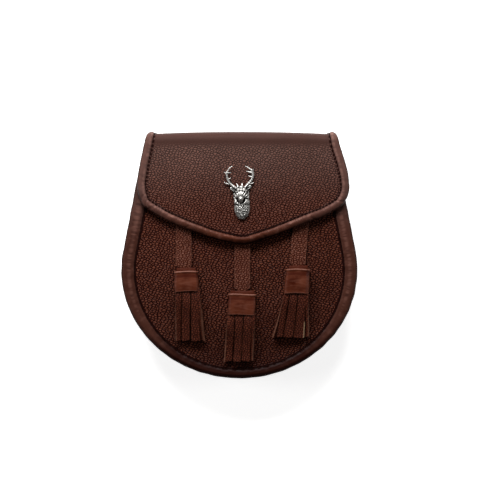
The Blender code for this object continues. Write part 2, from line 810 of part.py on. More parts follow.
def build_badge(target, cutters):
    """A cast stag's head: neck, head, muzzle, ears and antlers fused, flat at the back."""
    base_z = max(flap_height(BADGE_X, y) for y in (0.035, 0.052, 0.070)) + LEATHER / 2 + GAP
    badge = ball("stag_badge", (0.9, -11.0, 1.2), (6.7, 10.8, 3.4), 16, 8, target)
    badge.data.materials.append(material("stag_badge_pewter", "pewter"))
    parts = collection("badge_parts")
    ball("badge_head", (0.3, 0.2, 2.6), (5.6, 5.8, 3.9), 14, 8, parts)
    ball("badge_muzzle", (-0.2, -3.6, 5.0), (2.9, 3.0, 2.9), 12, 6, parts)
    for side, x, y in (("left", -6.4, 4.2), ("right", 6.4, 5.4)):
        ball("badge_ear_" + side, (x, y, 2.0), (3.6, 1.5, 1.3), 10, 6, parts)
    for side, bars in (("left", LEFT_ANTLER), ("right", RIGHT_ANTLER)):
        for bar in bars:
            horn("badge_" + side + "_" + bar.name, bar.points, bar.thick, bar.thin, parts)
    for part in parts.objects:
        part.hide_render = True
        part.display_type = "WIRE"
    join = badge.modifiers.new("cast together", "BOOLEAN")
    join.operation = "UNION"
    join.operand_type = "COLLECTION"
    join.collection = parts
    bm = bmesh.new()
    bmesh.ops.create_cube(bm, size=0.1)
    below = add_object("badge_back_cutter", mesh_from(bm, "badge_back_cutter"), cutters)
    below.hide_render = True
    below.display_type = "WIRE"
    flat = badge.modifiers.new("flat back", "BOOLEAN")
    flat.operation = "DIFFERENCE"
    flat.object = below
    place = Vector((BADGE_X, BADGE_Y, base_z))
    for thing in (badge, *parts.objects):
        thing.location += place
    below.location = place + Vector((0, 0, -0.05))
    return badge


# ---- hanging loops and stud


def build_loop(side, x, target):
    """A leather strip sewn to the back at both ends, standing off between them."""
    flat_z = LOOP_UNDERSIDE_Z + LEATHER / 2
    foot_z = back_height(x, LOOP_TOP_Y - 0.02) - LEATHER - GAP - 0.0002 - LEATHER / 2
    steps = (LOOP_FOOT, LOOP_RAMP, LOOP_OPENING, LOOP_RAMP, LOOP_FOOT)
    ys = [LOOP_TOP_Y - sum(steps[:i]) for i in range(len(steps) + 1)]
    zs = (foot_z, foot_z, flat_z, flat_z, foot_z, foot_z)

    def place(across, along):
        i = len(ys) - 1 - round(along * (len(ys) - 1))
        return x + (across - 0.5) * LOOP_WIDTH, ys[i], zs[i]

    return sheet("hanging_loop_" + side, 1, len(ys) - 1, place, LEATHER, 0,
                 target, "strap_leather")


def build_stud(target):
    low = front_height(STUD_X, STUD_Y) + GAP + 0.0001
    high = flap_height(STUD_X, STUD_Y) - LEATHER / 2 - GAP - 0.0001
    bm = bmesh.new()
    bmesh.ops.create_cone(bm, cap_ends=True, segments=16, radius1=STUD_RADIUS,
                          radius2=STUD_RADIUS, depth=high - low)
    stud = add_object("flap_stud", mesh_from(bm, "flap_stud"), target, "steel")
    stud.location = (STUD_X, STUD_Y, (low + high) / 2)
    return stud


def build():
    clear_scene()
    pouch = collection(COLLECTION)
    cutters = collection("cutters")
    build_panel("front_panel", front_height, pouch)
    build_panel("back_panel", back_height, pouch)
    build_gusset(pouch)
    build_body_binding("front_binding", FRONT_BINDING_Z, False, pouch)
    build_body_binding("back_binding", 0.0, True, pouch)
    build_flap(pouch)
    build_flap_binding(pouch)
    build_badge(pouch, cutters)
    for tassel in TASSELS:
        build_strap(tassel, pouch)
        build_cap(tassel, pouch)
        build_fringe(tassel, pouch)
    for side, x in (("left", -LOOP_X), ("right", LOOP_X)):
        build_loop(side, x, pouch)
    build_stud(pouch)


build()
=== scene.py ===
import math

import bmesh
import bpy
import numpy as np
from mathutils import Matrix, Vector, noise


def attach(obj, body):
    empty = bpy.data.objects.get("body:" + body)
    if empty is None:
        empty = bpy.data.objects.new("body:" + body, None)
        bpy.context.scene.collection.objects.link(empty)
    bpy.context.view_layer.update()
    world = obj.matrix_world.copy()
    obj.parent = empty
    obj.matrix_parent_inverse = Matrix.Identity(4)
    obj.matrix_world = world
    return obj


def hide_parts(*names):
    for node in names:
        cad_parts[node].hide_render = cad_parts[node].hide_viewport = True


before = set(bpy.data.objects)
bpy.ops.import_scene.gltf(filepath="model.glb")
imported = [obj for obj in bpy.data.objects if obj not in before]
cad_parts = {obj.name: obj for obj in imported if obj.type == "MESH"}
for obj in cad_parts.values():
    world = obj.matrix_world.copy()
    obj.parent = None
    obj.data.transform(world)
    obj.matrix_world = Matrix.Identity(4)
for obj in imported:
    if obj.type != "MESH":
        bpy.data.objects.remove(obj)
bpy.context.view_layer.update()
print("frame loaded:", len(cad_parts), "solids")


# Small sums used by every piece

def smooth(value):
    value = np.clip(value, 0.0, 1.0)
    return value * value * (3.0 - 2.0 * value)


def mix(a, b, share):
    return a + (b - a) * share


def bell(value, middle, half):  # 1 at the middle, falling away on both sides
    return np.exp(-((value - middle) / half) ** 2)


def waves(x, y, size, seed):  # soft unevenness, about -1 to 1
    dice = np.random.default_rng(seed)
    total = 0.0
    for _ in range(7):
        turn, start = dice.uniform(0, 2 * math.pi, 2)
        pace = 2 * math.pi / size * dice.uniform(0.6, 1.5)
        total = total + np.sin((x * math.cos(turn) + y * math.sin(turn)) * pace + start)
    return total / 3.5


def runLength(points):
    return np.concatenate([[0.0], np.cumsum(np.linalg.norm(np.diff(points, axis=0), axis=1))])


def evenRun(points, count, *others):  # the same path with its points evenly spaced
    lengths = runLength(points)
    even = np.linspace(0, lengths[-1], count)
    return [np.column_stack([np.interp(even, lengths, run[:, i]) for i in range(run.shape[1])])
            for run in (points, *others)]


def unit(rows):
    return rows / np.maximum(np.linalg.norm(rows, axis=-1, keepdims=True), 1e-12)


def rounded(points, steps):  # a smooth curve through a section's corner points
    points = np.array(points, float)
    padded = np.vstack([2 * points[0] - points[1], points, 2 * points[-1] - points[-2]])
    run = []
    for i in range(len(points) - 1):
        a, b, c, d = padded[i:i + 4]
        for t in np.linspace(0, 1, steps, endpoint=False):
            run.append(0.5 * (2 * b + (c - a) * t + (2 * a - 5 * b + 4 * c - d) * t ** 2
                              + (3 * b - a - 3 * c + d) * t ** 3))
    return np.array(run + [points[-1]])


# Meshes from rows of points

def closeFaces(rows, columns, loopRows, loopColumns):
    faces = []
    for i in range(rows if loopRows else rows - 1):
        for j in range(columns if loopColumns else columns - 1):
            k, m = (i + 1) % rows, (j + 1) % columns
            faces.append((i * columns + j, i * columns + m, k * columns + m, k * columns + j))
    return faces


def endFaces(rows, columns):
    return [tuple(range(columns)), tuple(range((rows - 1) * columns, rows * columns))]


def addMark(mesh, name, values):  # a vector or a number at each point, for the materials to read
    values = np.asarray(values, float)
    isVector = values.ndim > 1
    made = mesh.attributes.new(name, "FLOAT_VECTOR" if isVector else "FLOAT", "POINT")
    made.data.foreach_set("vector" if isVector else "value", values.ravel())


def finishMesh(points, faces, marks, sharp=42):  # outward normals, marks and soft shading
    mesh = bpy.data.meshes.new("leather")
    mesh.from_pydata(np.asarray(points).reshape(-1, 3).tolist(), [], faces)
    for name, values in marks.items():
        addMark(mesh, name, values)
    bm = bmesh.new()
    bm.from_mesh(mesh)
    bmesh.ops.recalc_face_normals(bm, faces=bm.faces)
    if bm.calc_volume(signed=True) < 0:
        bmesh.ops.reverse_faces(bm, faces=bm.faces)
    bm.to_mesh(mesh)
    bm.free()
    mesh.shade_smooth()
    mesh.set_sharp_from_angle(angle=math.radians(sharp))
    return mesh


def sweep(rings, lay, loop=False, sharp=42):  # closed sections along a path, its ends closed unless it loops
    rings = np.asarray(rings)
    rows, columns = rings.shape[:2]
    faces = closeFaces(rows, columns, loop, True)
    if not loop:
        faces += endFaces(rows, columns)
    return finishMesh(rings, faces, {"lay": np.reshape(lay, (-1, 3))}, sharp)


def leatherSheet(grid, thickness, below, lay):  # a sheet of real thickness with a rounded cut edge
    rows, columns = grid.shape[:2]
    normal = unit(np.cross(np.gradient(grid, axis=1), np.gradient(grid, axis=0)))
    if normal[rows // 2, columns // 2, 2] < 0:
        normal = -normal
    top = (grid + normal * thickness * (1 - below)).reshape(-1, 3)
    low = (grid - normal * thickness * below).reshape(-1, 3)
    count = rows * columns
    border = (list(range(columns)) + [i * columns + columns - 1 for i in range(1, rows)]
              + [(rows - 1) * columns + j for j in range(columns - 2, -1, -1)]
              + [i * columns for i in range(rows - 2, 0, -1)])
    edge = grid.reshape(-1, 3)[border]
    along = unit(np.roll(edge, -1, axis=0) - np.roll(edge, 1, axis=0))
    out = unit(np.cross(along, normal.reshape(-1, 3)[border]))
    if np.sum(out * (edge - grid.reshape(-1, 3).mean(axis=0))) < 0:
        out = -out
    middle = (top[border] + low[border]) / 2
    loops = [middle + out * thickness * push + (top[border] - middle) * lift
             for push, lift in ((0.28, 0.62), (0.35, 0.0), (0.28, -0.62))]
    faces = closeFaces(rows, columns, False, False)
    faces += [tuple(i + count for i in face[::-1]) for face in faces]
    lines = [border] + [[2 * count + k * len(border) + i for i in range(len(border))] for k in range(3)]
    lines.append([i + count for i in border])
    for upper, lower in zip(lines, lines[1:]):
        for i in range(len(border)):
            j = (i + 1) % len(border)
            faces.append((upper[i], upper[j], lower[j], lower[i]))
    lay = lay.reshape(-1, 3)
    wornAndPaintedLight = lay[border] + [0, 0, 1]
    return finishMesh(np.vstack([top, low, *loops]), faces, {"lay": np.vstack([lay, lay, wornAndPaintedLight, wornAndPaintedLight, wornAndPaintedLight])}, 50)


def layOf(grid, flatFrom=0):  # the leather laid flat: metres across, metres up, wear
    up = grid[:, :, 1].copy()
    steps = np.linalg.norm(np.diff(grid, axis=0), axis=2)
    for i in range(flatFrom - 1, -1, -1):  # rows before flatFrom go over the fold
        up[i] = up[i + 1] + steps[i]
    return np.stack([grid[:, :, 0], up, np.zeros_like(up)], axis=2)


def addToScene(name, data):
    thing = bpy.data.objects.new(name, data)
    bpy.context.scene.collection.objects.link(thing)
    return thing


def putInPlace(name, mesh, finish, stands=()):
    mesh.name = name
    if not mesh.materials:
        mesh.materials.append(finish)
    piece = addToScene(name, mesh)
    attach(piece, "root")
    if stands:
        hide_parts(*stands)
    return piece


# Node trees, written as sums

class Value:  # one socket that takes part in sums
    def __init__(self, tree, socket):
        self.tree, self.socket = tree, socket

    def join(self, kind, other, flipped=False):
        pair = (other, self) if flipped else (self, other)
        return self.tree.node("ShaderNodeMath", {"operation": kind}, {0: pair[0], 1: pair[1]})

    def __add__(self, other):
        return self.join("ADD", other)

    def __sub__(self, other):
        return self.join("SUBTRACT", other)

    def __rsub__(self, other):
        return self.join("SUBTRACT", other, True)

    def __mul__(self, other):
        return self.join("MULTIPLY", other)

    def __truediv__(self, other):
        return self.join("DIVIDE", other)

    def __rtruediv__(self, other):
        return self.join("DIVIDE", other, True)

    def __pow__(self, other):
        return self.join("POWER", other)

    def __neg__(self):
        return self * -1.0

    __radd__, __rmul__ = __add__, __mul__

    def over(self, other):
        return self.join("MAXIMUM", other)

    def under(self, other):
        return self.join("MINIMUM", other)

    def between(self, low, high):  # rises from 0 at low to 1 at high, with level ends
        return self.tree.node("ShaderNodeMapRange", {"interpolation_type": "SMOOTHSTEP"},
                              {"Value": self, "From Min": low, "From Max": high})


class Tree:
    def __init__(self, nodeTree):
        self.nodes, self.links = nodeTree.nodes, nodeTree.links

    def feed(self, socket, value):
        if isinstance(value, Value):
            self.links.new(value.socket, socket)
        else:
            socket.default_value = value

    def node(self, kind, settings=None, inputs=None, out=0):
        made = self.nodes.new(kind)
        for key, value in (settings or {}).items():
            setattr(made, key, value)
        for key, value in (inputs or {}).items():
            self.feed(made.inputs[key], value)
        return Value(self, made.outputs[out])

    def place(self, x=0.0, y=0.0, z=0.0):  # a vector from numbers
        return self.node("ShaderNodeCombineXYZ", {}, {0: x, 1: y, 2: z})

    def parts(self, vector):
        made = self.node("ShaderNodeSeparateXYZ", {}, {0: vector})
        return [Value(self, socket) for socket in made.socket.node.outputs]

    def vector(self, kind, a, b):
        return self.node("ShaderNodeVectorMath", {"operation": kind}, {0: a, 1: b})

    def blend(self, share, a, b):  # colours
        a, b = (colour if isinstance(colour, Value) else (*colour, 1.0) for colour in (a, b))
        return self.node("ShaderNodeMix", {"data_type": "RGBA"}, {0: share, 6: a, 7: b}, 2)

    def layers(self, colour, *steps):  # each tone laid over the colour by its share
        for share, tone in steps:
            colour = self.blend(share, colour, tone)
        return colour

    def speckle(self, where, scale, detail=2.0, rough=0.5, out=0):
        return self.node("ShaderNodeTexNoise", {}, {"Vector": where, "Scale": scale, "Detail": detail,
                                                    "Roughness": rough}, out)

    def bump(self, height, depth, strength):
        return self.node("ShaderNodeBump", {}, {"Strength": strength, "Distance": depth, "Height": height})

    def mark(self, name, out):  # what a mesh says at its points: out 1 is a vector, 2 a number
        return self.node("ShaderNodeAttribute", {"attribute_name": name}, {}, out)

    def stored(self, name, kind):  # the same for a geometry tree
        return self.node("GeometryNodeInputNamedAttribute", {"data_type": kind}, {"Name": name})

    def where(self):
        return self.node("ShaderNodeTexCoord", {}, {}, "Object")


def newFinish(name, **fixed):  # a material and its tree; fixed values stay on the shader's own sockets
    finish = bpy.data.materials.new(name)
    finish.use_nodes = True
    tree = Tree(finish.node_tree)
    shader = finish.node_tree.nodes["Principled BSDF"]
    for key, value in fixed.items():
        shader.inputs[key.replace("_", " ")].default_value = value
    return finish, tree, shader


def dress(tree, shader, **links):
    for key, value in links.items():
        tree.feed(shader.inputs[key.replace("_", " ")], value)


# Finishes. Each leather has the colour of its creases, partly painted shade, its skin and its rubbed crowns, partly
# painted highlight

grainTones = {
    "body": {"crease": (0.0060, 0.0003, 0.0001), "skin": (0.041, 0.0060, 0.0017), "rubAndHighlight": (0.122, 0.041, 0.024),
             "size": 0.0019, "cell": (0.68, 1.05, 1.0), "depth": 0.00056, "lit": (0.75, 0.95)},
    "flap": {"crease": (0.0090, 0.0006, 0.0001), "skin": (0.052, 0.0092, 0.0034), "rubAndHighlight": (0.124, 0.048, 0.033),
             "size": 0.0019, "cell": (0.72, 1.05, 1.0), "depth": 0.00045, "lit": (0.72, 1.00),
             "paintedSheen": (0.115, 0.090, 0.080)},
    "strap": {"crease": (0.025, 0.0034, 0.0009), "skin": (0.054, 0.0108, 0.0038), "rubAndHighlight": (0.130, 0.050, 0.033),
              "size": 0.0016, "cell": (0.64, 1.02, 1.0), "depth": 0.00039, "lit": (0.85, 0.95)},
}


def grain(tree, flat, tones, strength):  # pebbles with creases between them, on the leather laid flat
    size = tones["size"]
    step = 0.06 * size
    drift = tree.vector("SUBTRACT", tree.speckle(flat, 0.3 / size, 1.0, out=1), (0.5, 0.5, 0.5))
    bent = tree.vector("ADD", flat, tree.vector("MULTIPLY", drift, (size,) * 3))
    borders, heights = [], []
    for shift in ((0.0, 0.0, 0.0), (step, 0.0, 0.0), (0.0, step, 0.0)):  # three places, for the height's slope
        spot = tree.node("ShaderNodeMapping", {}, {"Vector": tree.vector("ADD", bent, shift),
                                                   "Rotation": (0.0, 0.0, 0.35), "Scale": tones["cell"]})
        border = tree.node("ShaderNodeTexVoronoi", {"feature": "DISTANCE_TO_EDGE", "voronoi_dimensions": "2D"},
                           {"Vector": spot, "Scale": 1.0 / size, "Randomness": 0.80})
        dome = 1.0 - (1.0 - (border / 0.31).under(1.0)) ** 2.0
        borders.append(border)
        heights.append(dome * 0.85 + tree.speckle(spot, 1.7 / size) * 0.4)
    slopes = [(heights[0] - height) * strength * (tones["depth"] / step) for height in heights[1:]]
    face = tree.node("ShaderNodeNewGeometry", {}, {}, "Normal")
    face = tree.vector("NORMALIZE", tree.vector("ADD", face, tree.place(*slopes)), (0.0, 0.0, 0.0))
    return borders[0].between(0.02, 0.24), borders[0].between(0.10, 0.42), face


def grainLeather(kind, plainAbove=None):
    tones = grainTones[kind]
    finish, tree, shader = newFinish(kind + "Grain", Specular_IOR_Level=0.06)
    where = tree.where()
    level = tree.parts(where)[1]
    flat = tree.mark("lay", 1)
    wearAndPaintedLight = tree.parts(flat)[2]
    patches = tree.speckle(where, 14.0, 3.0)
    clouds = tree.speckle(where, 70.0)
    calm = level.between(*plainAbove) if plainAbove else 0.0  # stretched smooth round the fold
    # Painted sheen: the flap's creases are lightened towards the top.
    paintedLightInCreases = level.between(0.050, 0.100) * 0.40 if plainAbove else 0.0
    pebble, crown, face = grain(tree, flat, tones, 1.0 - calm * 0.95)
    # Painted light: the crowns are lighter towards the top.
    paintedLightToTop = level.between(0.02, 0.09) * (tones["lit"][1] - tones["lit"][0]) + tones["lit"][0]
    # Painted shade: darker towards the bottom.
    low = 1.0 - level.between(-0.105, -0.055)
    colour = tree.layers(tones["crease"], (pebble.over(paintedLightInCreases), tones["skin"]),
                         (crown * (paintedLightToTop + (clouds - 0.5) * 0.5), tones["rubAndHighlight"]),
                         ((patches.between(0.45, 0.80) * 0.18).over(low * 0.52), tones["crease"]),
                         (wearAndPaintedLight.between(0.1, 1.0) * 0.6, tones["rubAndHighlight"]))
    if plainAbove:
        plain = tree.blend(clouds * 0.25 + 0.36, tones["crease"], tones["skin"])
        # Painted sheen towards the top of the flap, less on the fold.
        colour = tree.layers(colour, (calm * 0.95, plain),
                             (level.between(0.030, 0.095) * (0.24 - calm * 0.08), tones["paintedSheen"]))
    rough = 0.94 - pebble * 0.60 + (patches - 0.5) * 0.08 + (pebble * 0.60 - 0.36) * calm
    dress(tree, shader, Base_Color=colour, Roughness=rough, Normal=face)
    return finish


bandTones = {
    "body": {"deep": (0.008, 0.0006, 0.0002), "skin": (0.050, 0.0168, 0.0110), "rubAndHighlight": (0.130, 0.056, 0.042),
             "paintedSheen": (0.115, 0.076, 0.070), "paintedSheenShare": 0.20},
    "flap": {"deep": (0.009, 0.0008, 0.0002), "skin": (0.066, 0.0172, 0.0084), "rubAndHighlight": (0.205, 0.092, 0.068),
             "paintedSheen": (0.115, 0.076, 0.070), "paintedSheenShare": 0.38},
}


def bandLeather(kind):  # smooth calf, creased across where it is pulled round the edge
    tones = bandTones[kind]
    finish, tree, shader = newFinish(kind + "Band", Specular_IOR_Level=0.05)
    where = tree.where()
    along, across, wearAndPaintedLight = tree.parts(tree.mark("lay", 1))
    streak = tree.speckle(tree.place(along * 170.0, across * 110.0), 1.0, 3.0, 0.55)
    pull = tree.speckle(tree.place(along * 40.0, across * 300.0, 3.0), 1.0)
    ripple = tree.speckle(tree.place(along * 560.0, across * 75.0, 9.0), 1.0, 1.0, 0.4)
    clouds = tree.speckle(where, 45.0, 3.0)
    pores = tree.node("ShaderNodeTexVoronoi", {"feature": "F1"}, {"Vector": where, "Scale": 1500.0})
    shown = wearAndPaintedLight.between(0.05, 0.40) * clouds.between(0.25, 0.45)
    # Painted sheen towards the top.
    high = tree.parts(where)[1].between(0.010, 0.060)
    # The mark's positive share is rub and painted highlight, its negative share painted shade; ripple crests get
    # painted highlight, their troughs painted shade.
    colour = tree.layers(tones["deep"], (clouds.between(0.10, 0.60) * 0.5 + 0.5, tones["skin"]),
                         (streak.between(0.45, 0.85) * 0.35, tones["rubAndHighlight"]),
                         ((1.0 - pull.between(0.25, 0.5)) * 0.15, tones["deep"]),
                         (wearAndPaintedLight.between(0.0, 1.0) * 0.75, tones["rubAndHighlight"]),
                         (ripple.between(0.50, 0.62) * shown * 0.36, tones["rubAndHighlight"]),
                         ((1.0 - ripple.between(0.36, 0.48)) * shown * 0.45, tones["deep"]),
                         (high * tones["paintedSheenShare"], tones["paintedSheen"]),
                         ((-wearAndPaintedLight).between(0.1, 0.8) * 0.96, tones["deep"]))
    height = streak * 0.6 + pull * 0.25 + ripple * 0.5 + pores * 0.12
    dress(tree, shader, Base_Color=colour, Roughness=0.44 + (streak - 0.5) * 0.25 + (clouds - 0.5) * 0.15,
          Normal=tree.bump(height, 0.00035, 0.75))
    return finish


capTones = {"deep": (0.036, 0.0040, 0.0008), "skin": (0.088, 0.0205, 0.0090), "rubAndHighlight": (0.225, 0.095, 0.066)}


def capLeather():
    finish, tree, shader = newFinish("capLeather", Specular_IOR_Level=0.13)
    along, across, wearAndPaintedLight = tree.parts(tree.mark("lay", 1))
    streak = tree.speckle(tree.place(along * 130.0, across * 640.0), 1.0, 3.0, 0.6)
    clouds = tree.speckle(tree.where(), 110.0)
    # The mark's positive share is rub and painted highlight, its negative share painted shade.
    colour = tree.layers(capTones["deep"], (clouds.between(0.20, 0.72), capTones["skin"]),
                         (streak.between(0.40, 0.80) * 0.22, capTones["rubAndHighlight"]),
                         (wearAndPaintedLight.between(0.1, 1.0) * 0.8, capTones["rubAndHighlight"]),
                         ((-wearAndPaintedLight).between(0.1, 1.0) * 0.9, capTones["deep"]))
    dress(tree, shader, Base_Color=colour, Roughness=0.36 + (clouds - 0.5) * 0.2 + streak * 0.08,
          Normal=tree.bump(streak * 0.7 + clouds * 0.4, 0.00020, 0.7))
    return finish


fringeTones = {
    "crease": (0.0120, 0.0008, 0.0002), "skin": (0.053, 0.0094, 0.0034), "rubAndHighlight": (0.150, 0.048, 0.028),
    "size": 0.0017, "cell": (0.80, 1.00, 1.0), "depth": 0.00026,
    "head": (0.058, 0.0125, 0.0050), "headDark": (0.036, 0.0040, 0.0008),
    "cut": (0.020, 0.0065, 0.0030), "edge": (0.115, 0.048, 0.030), "flesh": (0.40, 0.27, 0.16),
}


def fringeLeather():
    tones = fringeTones
    finish, tree, shader = newFinish("fringeLeather", Specular_IOR_Level=0.07)
    head, cut, flesh = (tree.mark(name, 2) for name in ("head", "cut", "flesh"))
    pebble, crown, face = grain(tree, tree.mark("lay", 1), tones, (1.0 - head * 0.85) * (1.0 - cut * 0.5))
    clouds = tree.speckle(tree.where(), 150.0, 3.0)
    colour = tree.layers(tones["crease"], (pebble, tones["skin"]), (crown * 0.5, tones["rubAndHighlight"]),
                         (clouds.between(0.5, 0.8) * 0.4, tones["crease"]),
                         (head, tree.blend(clouds, tones["head"], tones["headDark"])),
                         # Cut edges and tips darkened: raw edge colour and painted shade in the slits between strips.
                         (cut.between(0.05, 0.9) * (0.35 + clouds * 0.6), tones["cut"]),
                         (flesh.between(0.04, 0.28) * (0.3 + clouds * 0.8), tones["edge"]),
                         (flesh.between(0.45, 0.85), tree.blend(clouds * 0.6, tones["flesh"], tones["cut"])))
    dress(tree, shader, Base_Color=colour, Roughness=0.66 - pebble * 0.26 + head * 0.16, Normal=face)
    return finish


def castPewter():  # bright on what stands out, dark in the hollows
    finish, tree, shader = newFinish("castPewter", Metallic=1.0)
    stain = tree.speckle(tree.where(), 700.0, 3.0, 0.6)
    dark = (tree.mark("hollow", 2) + (stain - 0.5) * 0.30).between(0.08, 0.68)
    dress(tree, shader, Base_Color=tree.blend(dark, (0.42, 0.41, 0.388), (0.006, 0.0055, 0.0050)),
          Roughness=0.46 + dark * 0.26 + (stain - 0.5) * 0.12, Normal=tree.bump(stain, 0.00008, 0.6))
    return finish


def plainSteel():
    finish, tree, shader = newFinish("steel", Metallic=1.0)
    turned = tree.speckle(tree.where(), 900.0)
    dress(tree, shader, Base_Color=tree.blend(turned, (0.30, 0.295, 0.29), (0.42, 0.415, 0.40)),
          Roughness=0.25 + turned * 0.15, Normal=tree.bump(turned, 0.00003, 0.4))
    return finish


def waxedThread():
    finish, tree, shader = newFinish("waxedThread", Specular_IOR_Level=0.05)
    twist = tree.node("ShaderNodeTexWave", {"bands_direction": "DIAGONAL"},
                      {"Vector": tree.where(), "Scale": 900.0, "Distortion": 1.5})
    dress(tree, shader, Base_Color=tree.blend(twist, (0.003, 0.0006, 0.0003), (0.012, 0.0032, 0.0018)),
          Roughness=0.75 - twist * 0.1, Normal=tree.bump(twist, 0.00008, 0.7))
    return finish


finishes = {
    "bodyGrain": grainLeather("body"), "flapGrain": grainLeather("flap", (0.0900, 0.0975)),
    "strapGrain": grainLeather("strap"), "bodyBand": bandLeather("body"), "flapBand": bandLeather("flap"),
    "cap": capLeather(), "fringe": fringeLeather(), "pewter": castPewter(), "steel": plainSteel(),
    "thread": waxedThread(),
}
print("finishes made:", len(finishes))


# Outline of the body and the heights that lie on it

body = {
    "halfWidth": 0.1017, "widestY": -0.0129, "bottomY": -0.1062, "topY": 0.0950, "sideTaper": 0.193,
    "leather": 0.0018, "gap": 0.0003, "seamHeight": 0.0065, "seamWall": 0.0012, "frontSeamZ": 0.0275,
    "panelInset": 0.0018, "swell": 0.0060, "swellStart": 0.0110, "swellReach": 0.0460, "lostAtTop": 0.35,
    "hollow": 0.0060, "hollowStart": 0.0100, "hollowReach": 0.0300,
    # unevenness of the filled front, the small gathers beside its seam and the pressed back
    "wave": 0.00030, "waveSize": 0.042, "gather": 0.00012, "gatherPitch": 0.0068, "backWave": 0.0002,
}
bodyDrop = body["widestY"] - body["bottomY"]
bodyTurn = math.atan(body["sideTaper"] * bodyDrop / body["halfWidth"])  # where the straight sides begin


def seamRun(count):  # points, outward directions and metres along the seam, top left round to top right
    angle = np.linspace(math.pi - bodyTurn, 2 * math.pi + bodyTurn, 1400)
    arc = np.column_stack([body["halfWidth"] * np.cos(angle), body["widestY"] + bodyDrop * np.sin(angle)])
    out = unit(np.column_stack([np.cos(angle) / body["halfWidth"], np.sin(angle) / bodyDrop]))
    rise = np.linspace(1, 0, 400)[:-1] * (body["topY"] - arc[0, 1])
    left = arc[0] + np.column_stack([body["sideTaper"] * rise, rise])
    right = (arc[-1] + np.column_stack([-body["sideTaper"] * rise, rise]))[::-1]
    points = np.vstack([left, arc, right])
    outs = np.vstack([np.repeat(out[:1], len(left), 0), out, np.repeat(out[-1:], len(right), 0)])
    points, outs = evenRun(points, count, outs)
    return points, unit(outs), runLength(points)


seamPoints, _, seamLengths = seamRun(760)


def nearestSeam(x, y):  # distance from the seam and metres along it
    x, y = np.broadcast_arrays(x, y)
    shape = x.shape
    x, y = np.ravel(x), np.ravel(y)
    far, at = np.empty(x.size), np.empty(x.size)
    for start in range(0, x.size, 4000):  # in portions, to save memory
        part = slice(start, start + 4000)
        gap = np.hypot(x[part, None] - seamPoints[:, 0], y[part, None] - seamPoints[:, 1])
        best = gap.argmin(axis=1)
        far[part], at[part] = gap[np.arange(best.size), best], seamLengths[best]
    return far.reshape(shape), at.reshape(shape)


def halfWidth(y):
    startY = body["widestY"] + bodyDrop * math.sin(bodyTurn)
    level = np.clip(np.abs(y - body["widestY"]) / bodyDrop, 0.0, 1.0)
    straight = body["halfWidth"] * math.cos(bodyTurn) - body["sideTaper"] * (y - startY)
    return np.where(y > startY, straight, body["halfWidth"] * np.sqrt(1.0 - level * level))


def inset(x, y):
    return np.where(np.abs(x) >= halfWidth(y), 0.0, nearestSeam(x, y)[0])


def frontHeight(x, y):
    rim = body["frontSeamZ"] + body["seamHeight"] - body["seamWall"] - body["gap"]
    kept = 1.0 - body["lostAtTop"] * smooth((y - 0.060) / 0.040)
    return rim + body["swell"] * kept * smooth((inset(x, y) - body["swellStart"]) / body["swellReach"])


def backHeight(x, y):
    rim = body["seamWall"] + body["gap"] + body["leather"]
    return rim + body["hollow"] * smooth((inset(x, y) - body["hollowStart"]) / body["hollowReach"])


def faceHeight(x, y):  # the front's face with its unevenness
    far, at = nearestSeam(x, y)
    soft = body["wave"] * waves(x, y, body["waveSize"], 11) * smooth((far - 0.014) / 0.020)
    beside = smooth((0.022 - far) / 0.010) * smooth((far - 0.012) / 0.002)
    return frontHeight(x, y) + soft + body["gather"] * np.cos(at * 2 * math.pi / body["gatherPitch"]) * beside


def panelPlan(count):  # a disc below and tapering sides above, from a square
    u, v = np.meshgrid(np.linspace(-1, 1, count), np.linspace(-1, 1, count))
    isLow = v < 0
    y = np.where(isLow, body["widestY"] + v * np.sqrt(1 - u * u / 2) * (bodyDrop - body["panelInset"]),
                 body["widestY"] + v * (body["topY"] - body["widestY"]))
    x = np.where(isLow, u * np.sqrt(1 - v * v / 2) * (body["halfWidth"] - body["panelInset"]),
                 u * (halfWidth(np.maximum(y, body["widestY"])) - body["panelInset"]))
    return x, y


x, y = panelPlan(120)
pressed = backHeight(x, y) + body["backWave"] * waves(x, y, 0.05, 5) * smooth((inset(x, y) - 0.02) / 0.02)
for side, height in (("front", faceHeight(x, y)), ("back", pressed)):
    grid = np.stack([x, y, height], axis=2)
    putInPlace(side + "PanelLeather", leatherSheet(grid, body["leather"], 1.0, layOf(grid)),
               finishes["bodyGrain"], [side + "_panel"])
print("panels made")


# Rolled binding round the front and back seams. The stitches pull it in at every beat

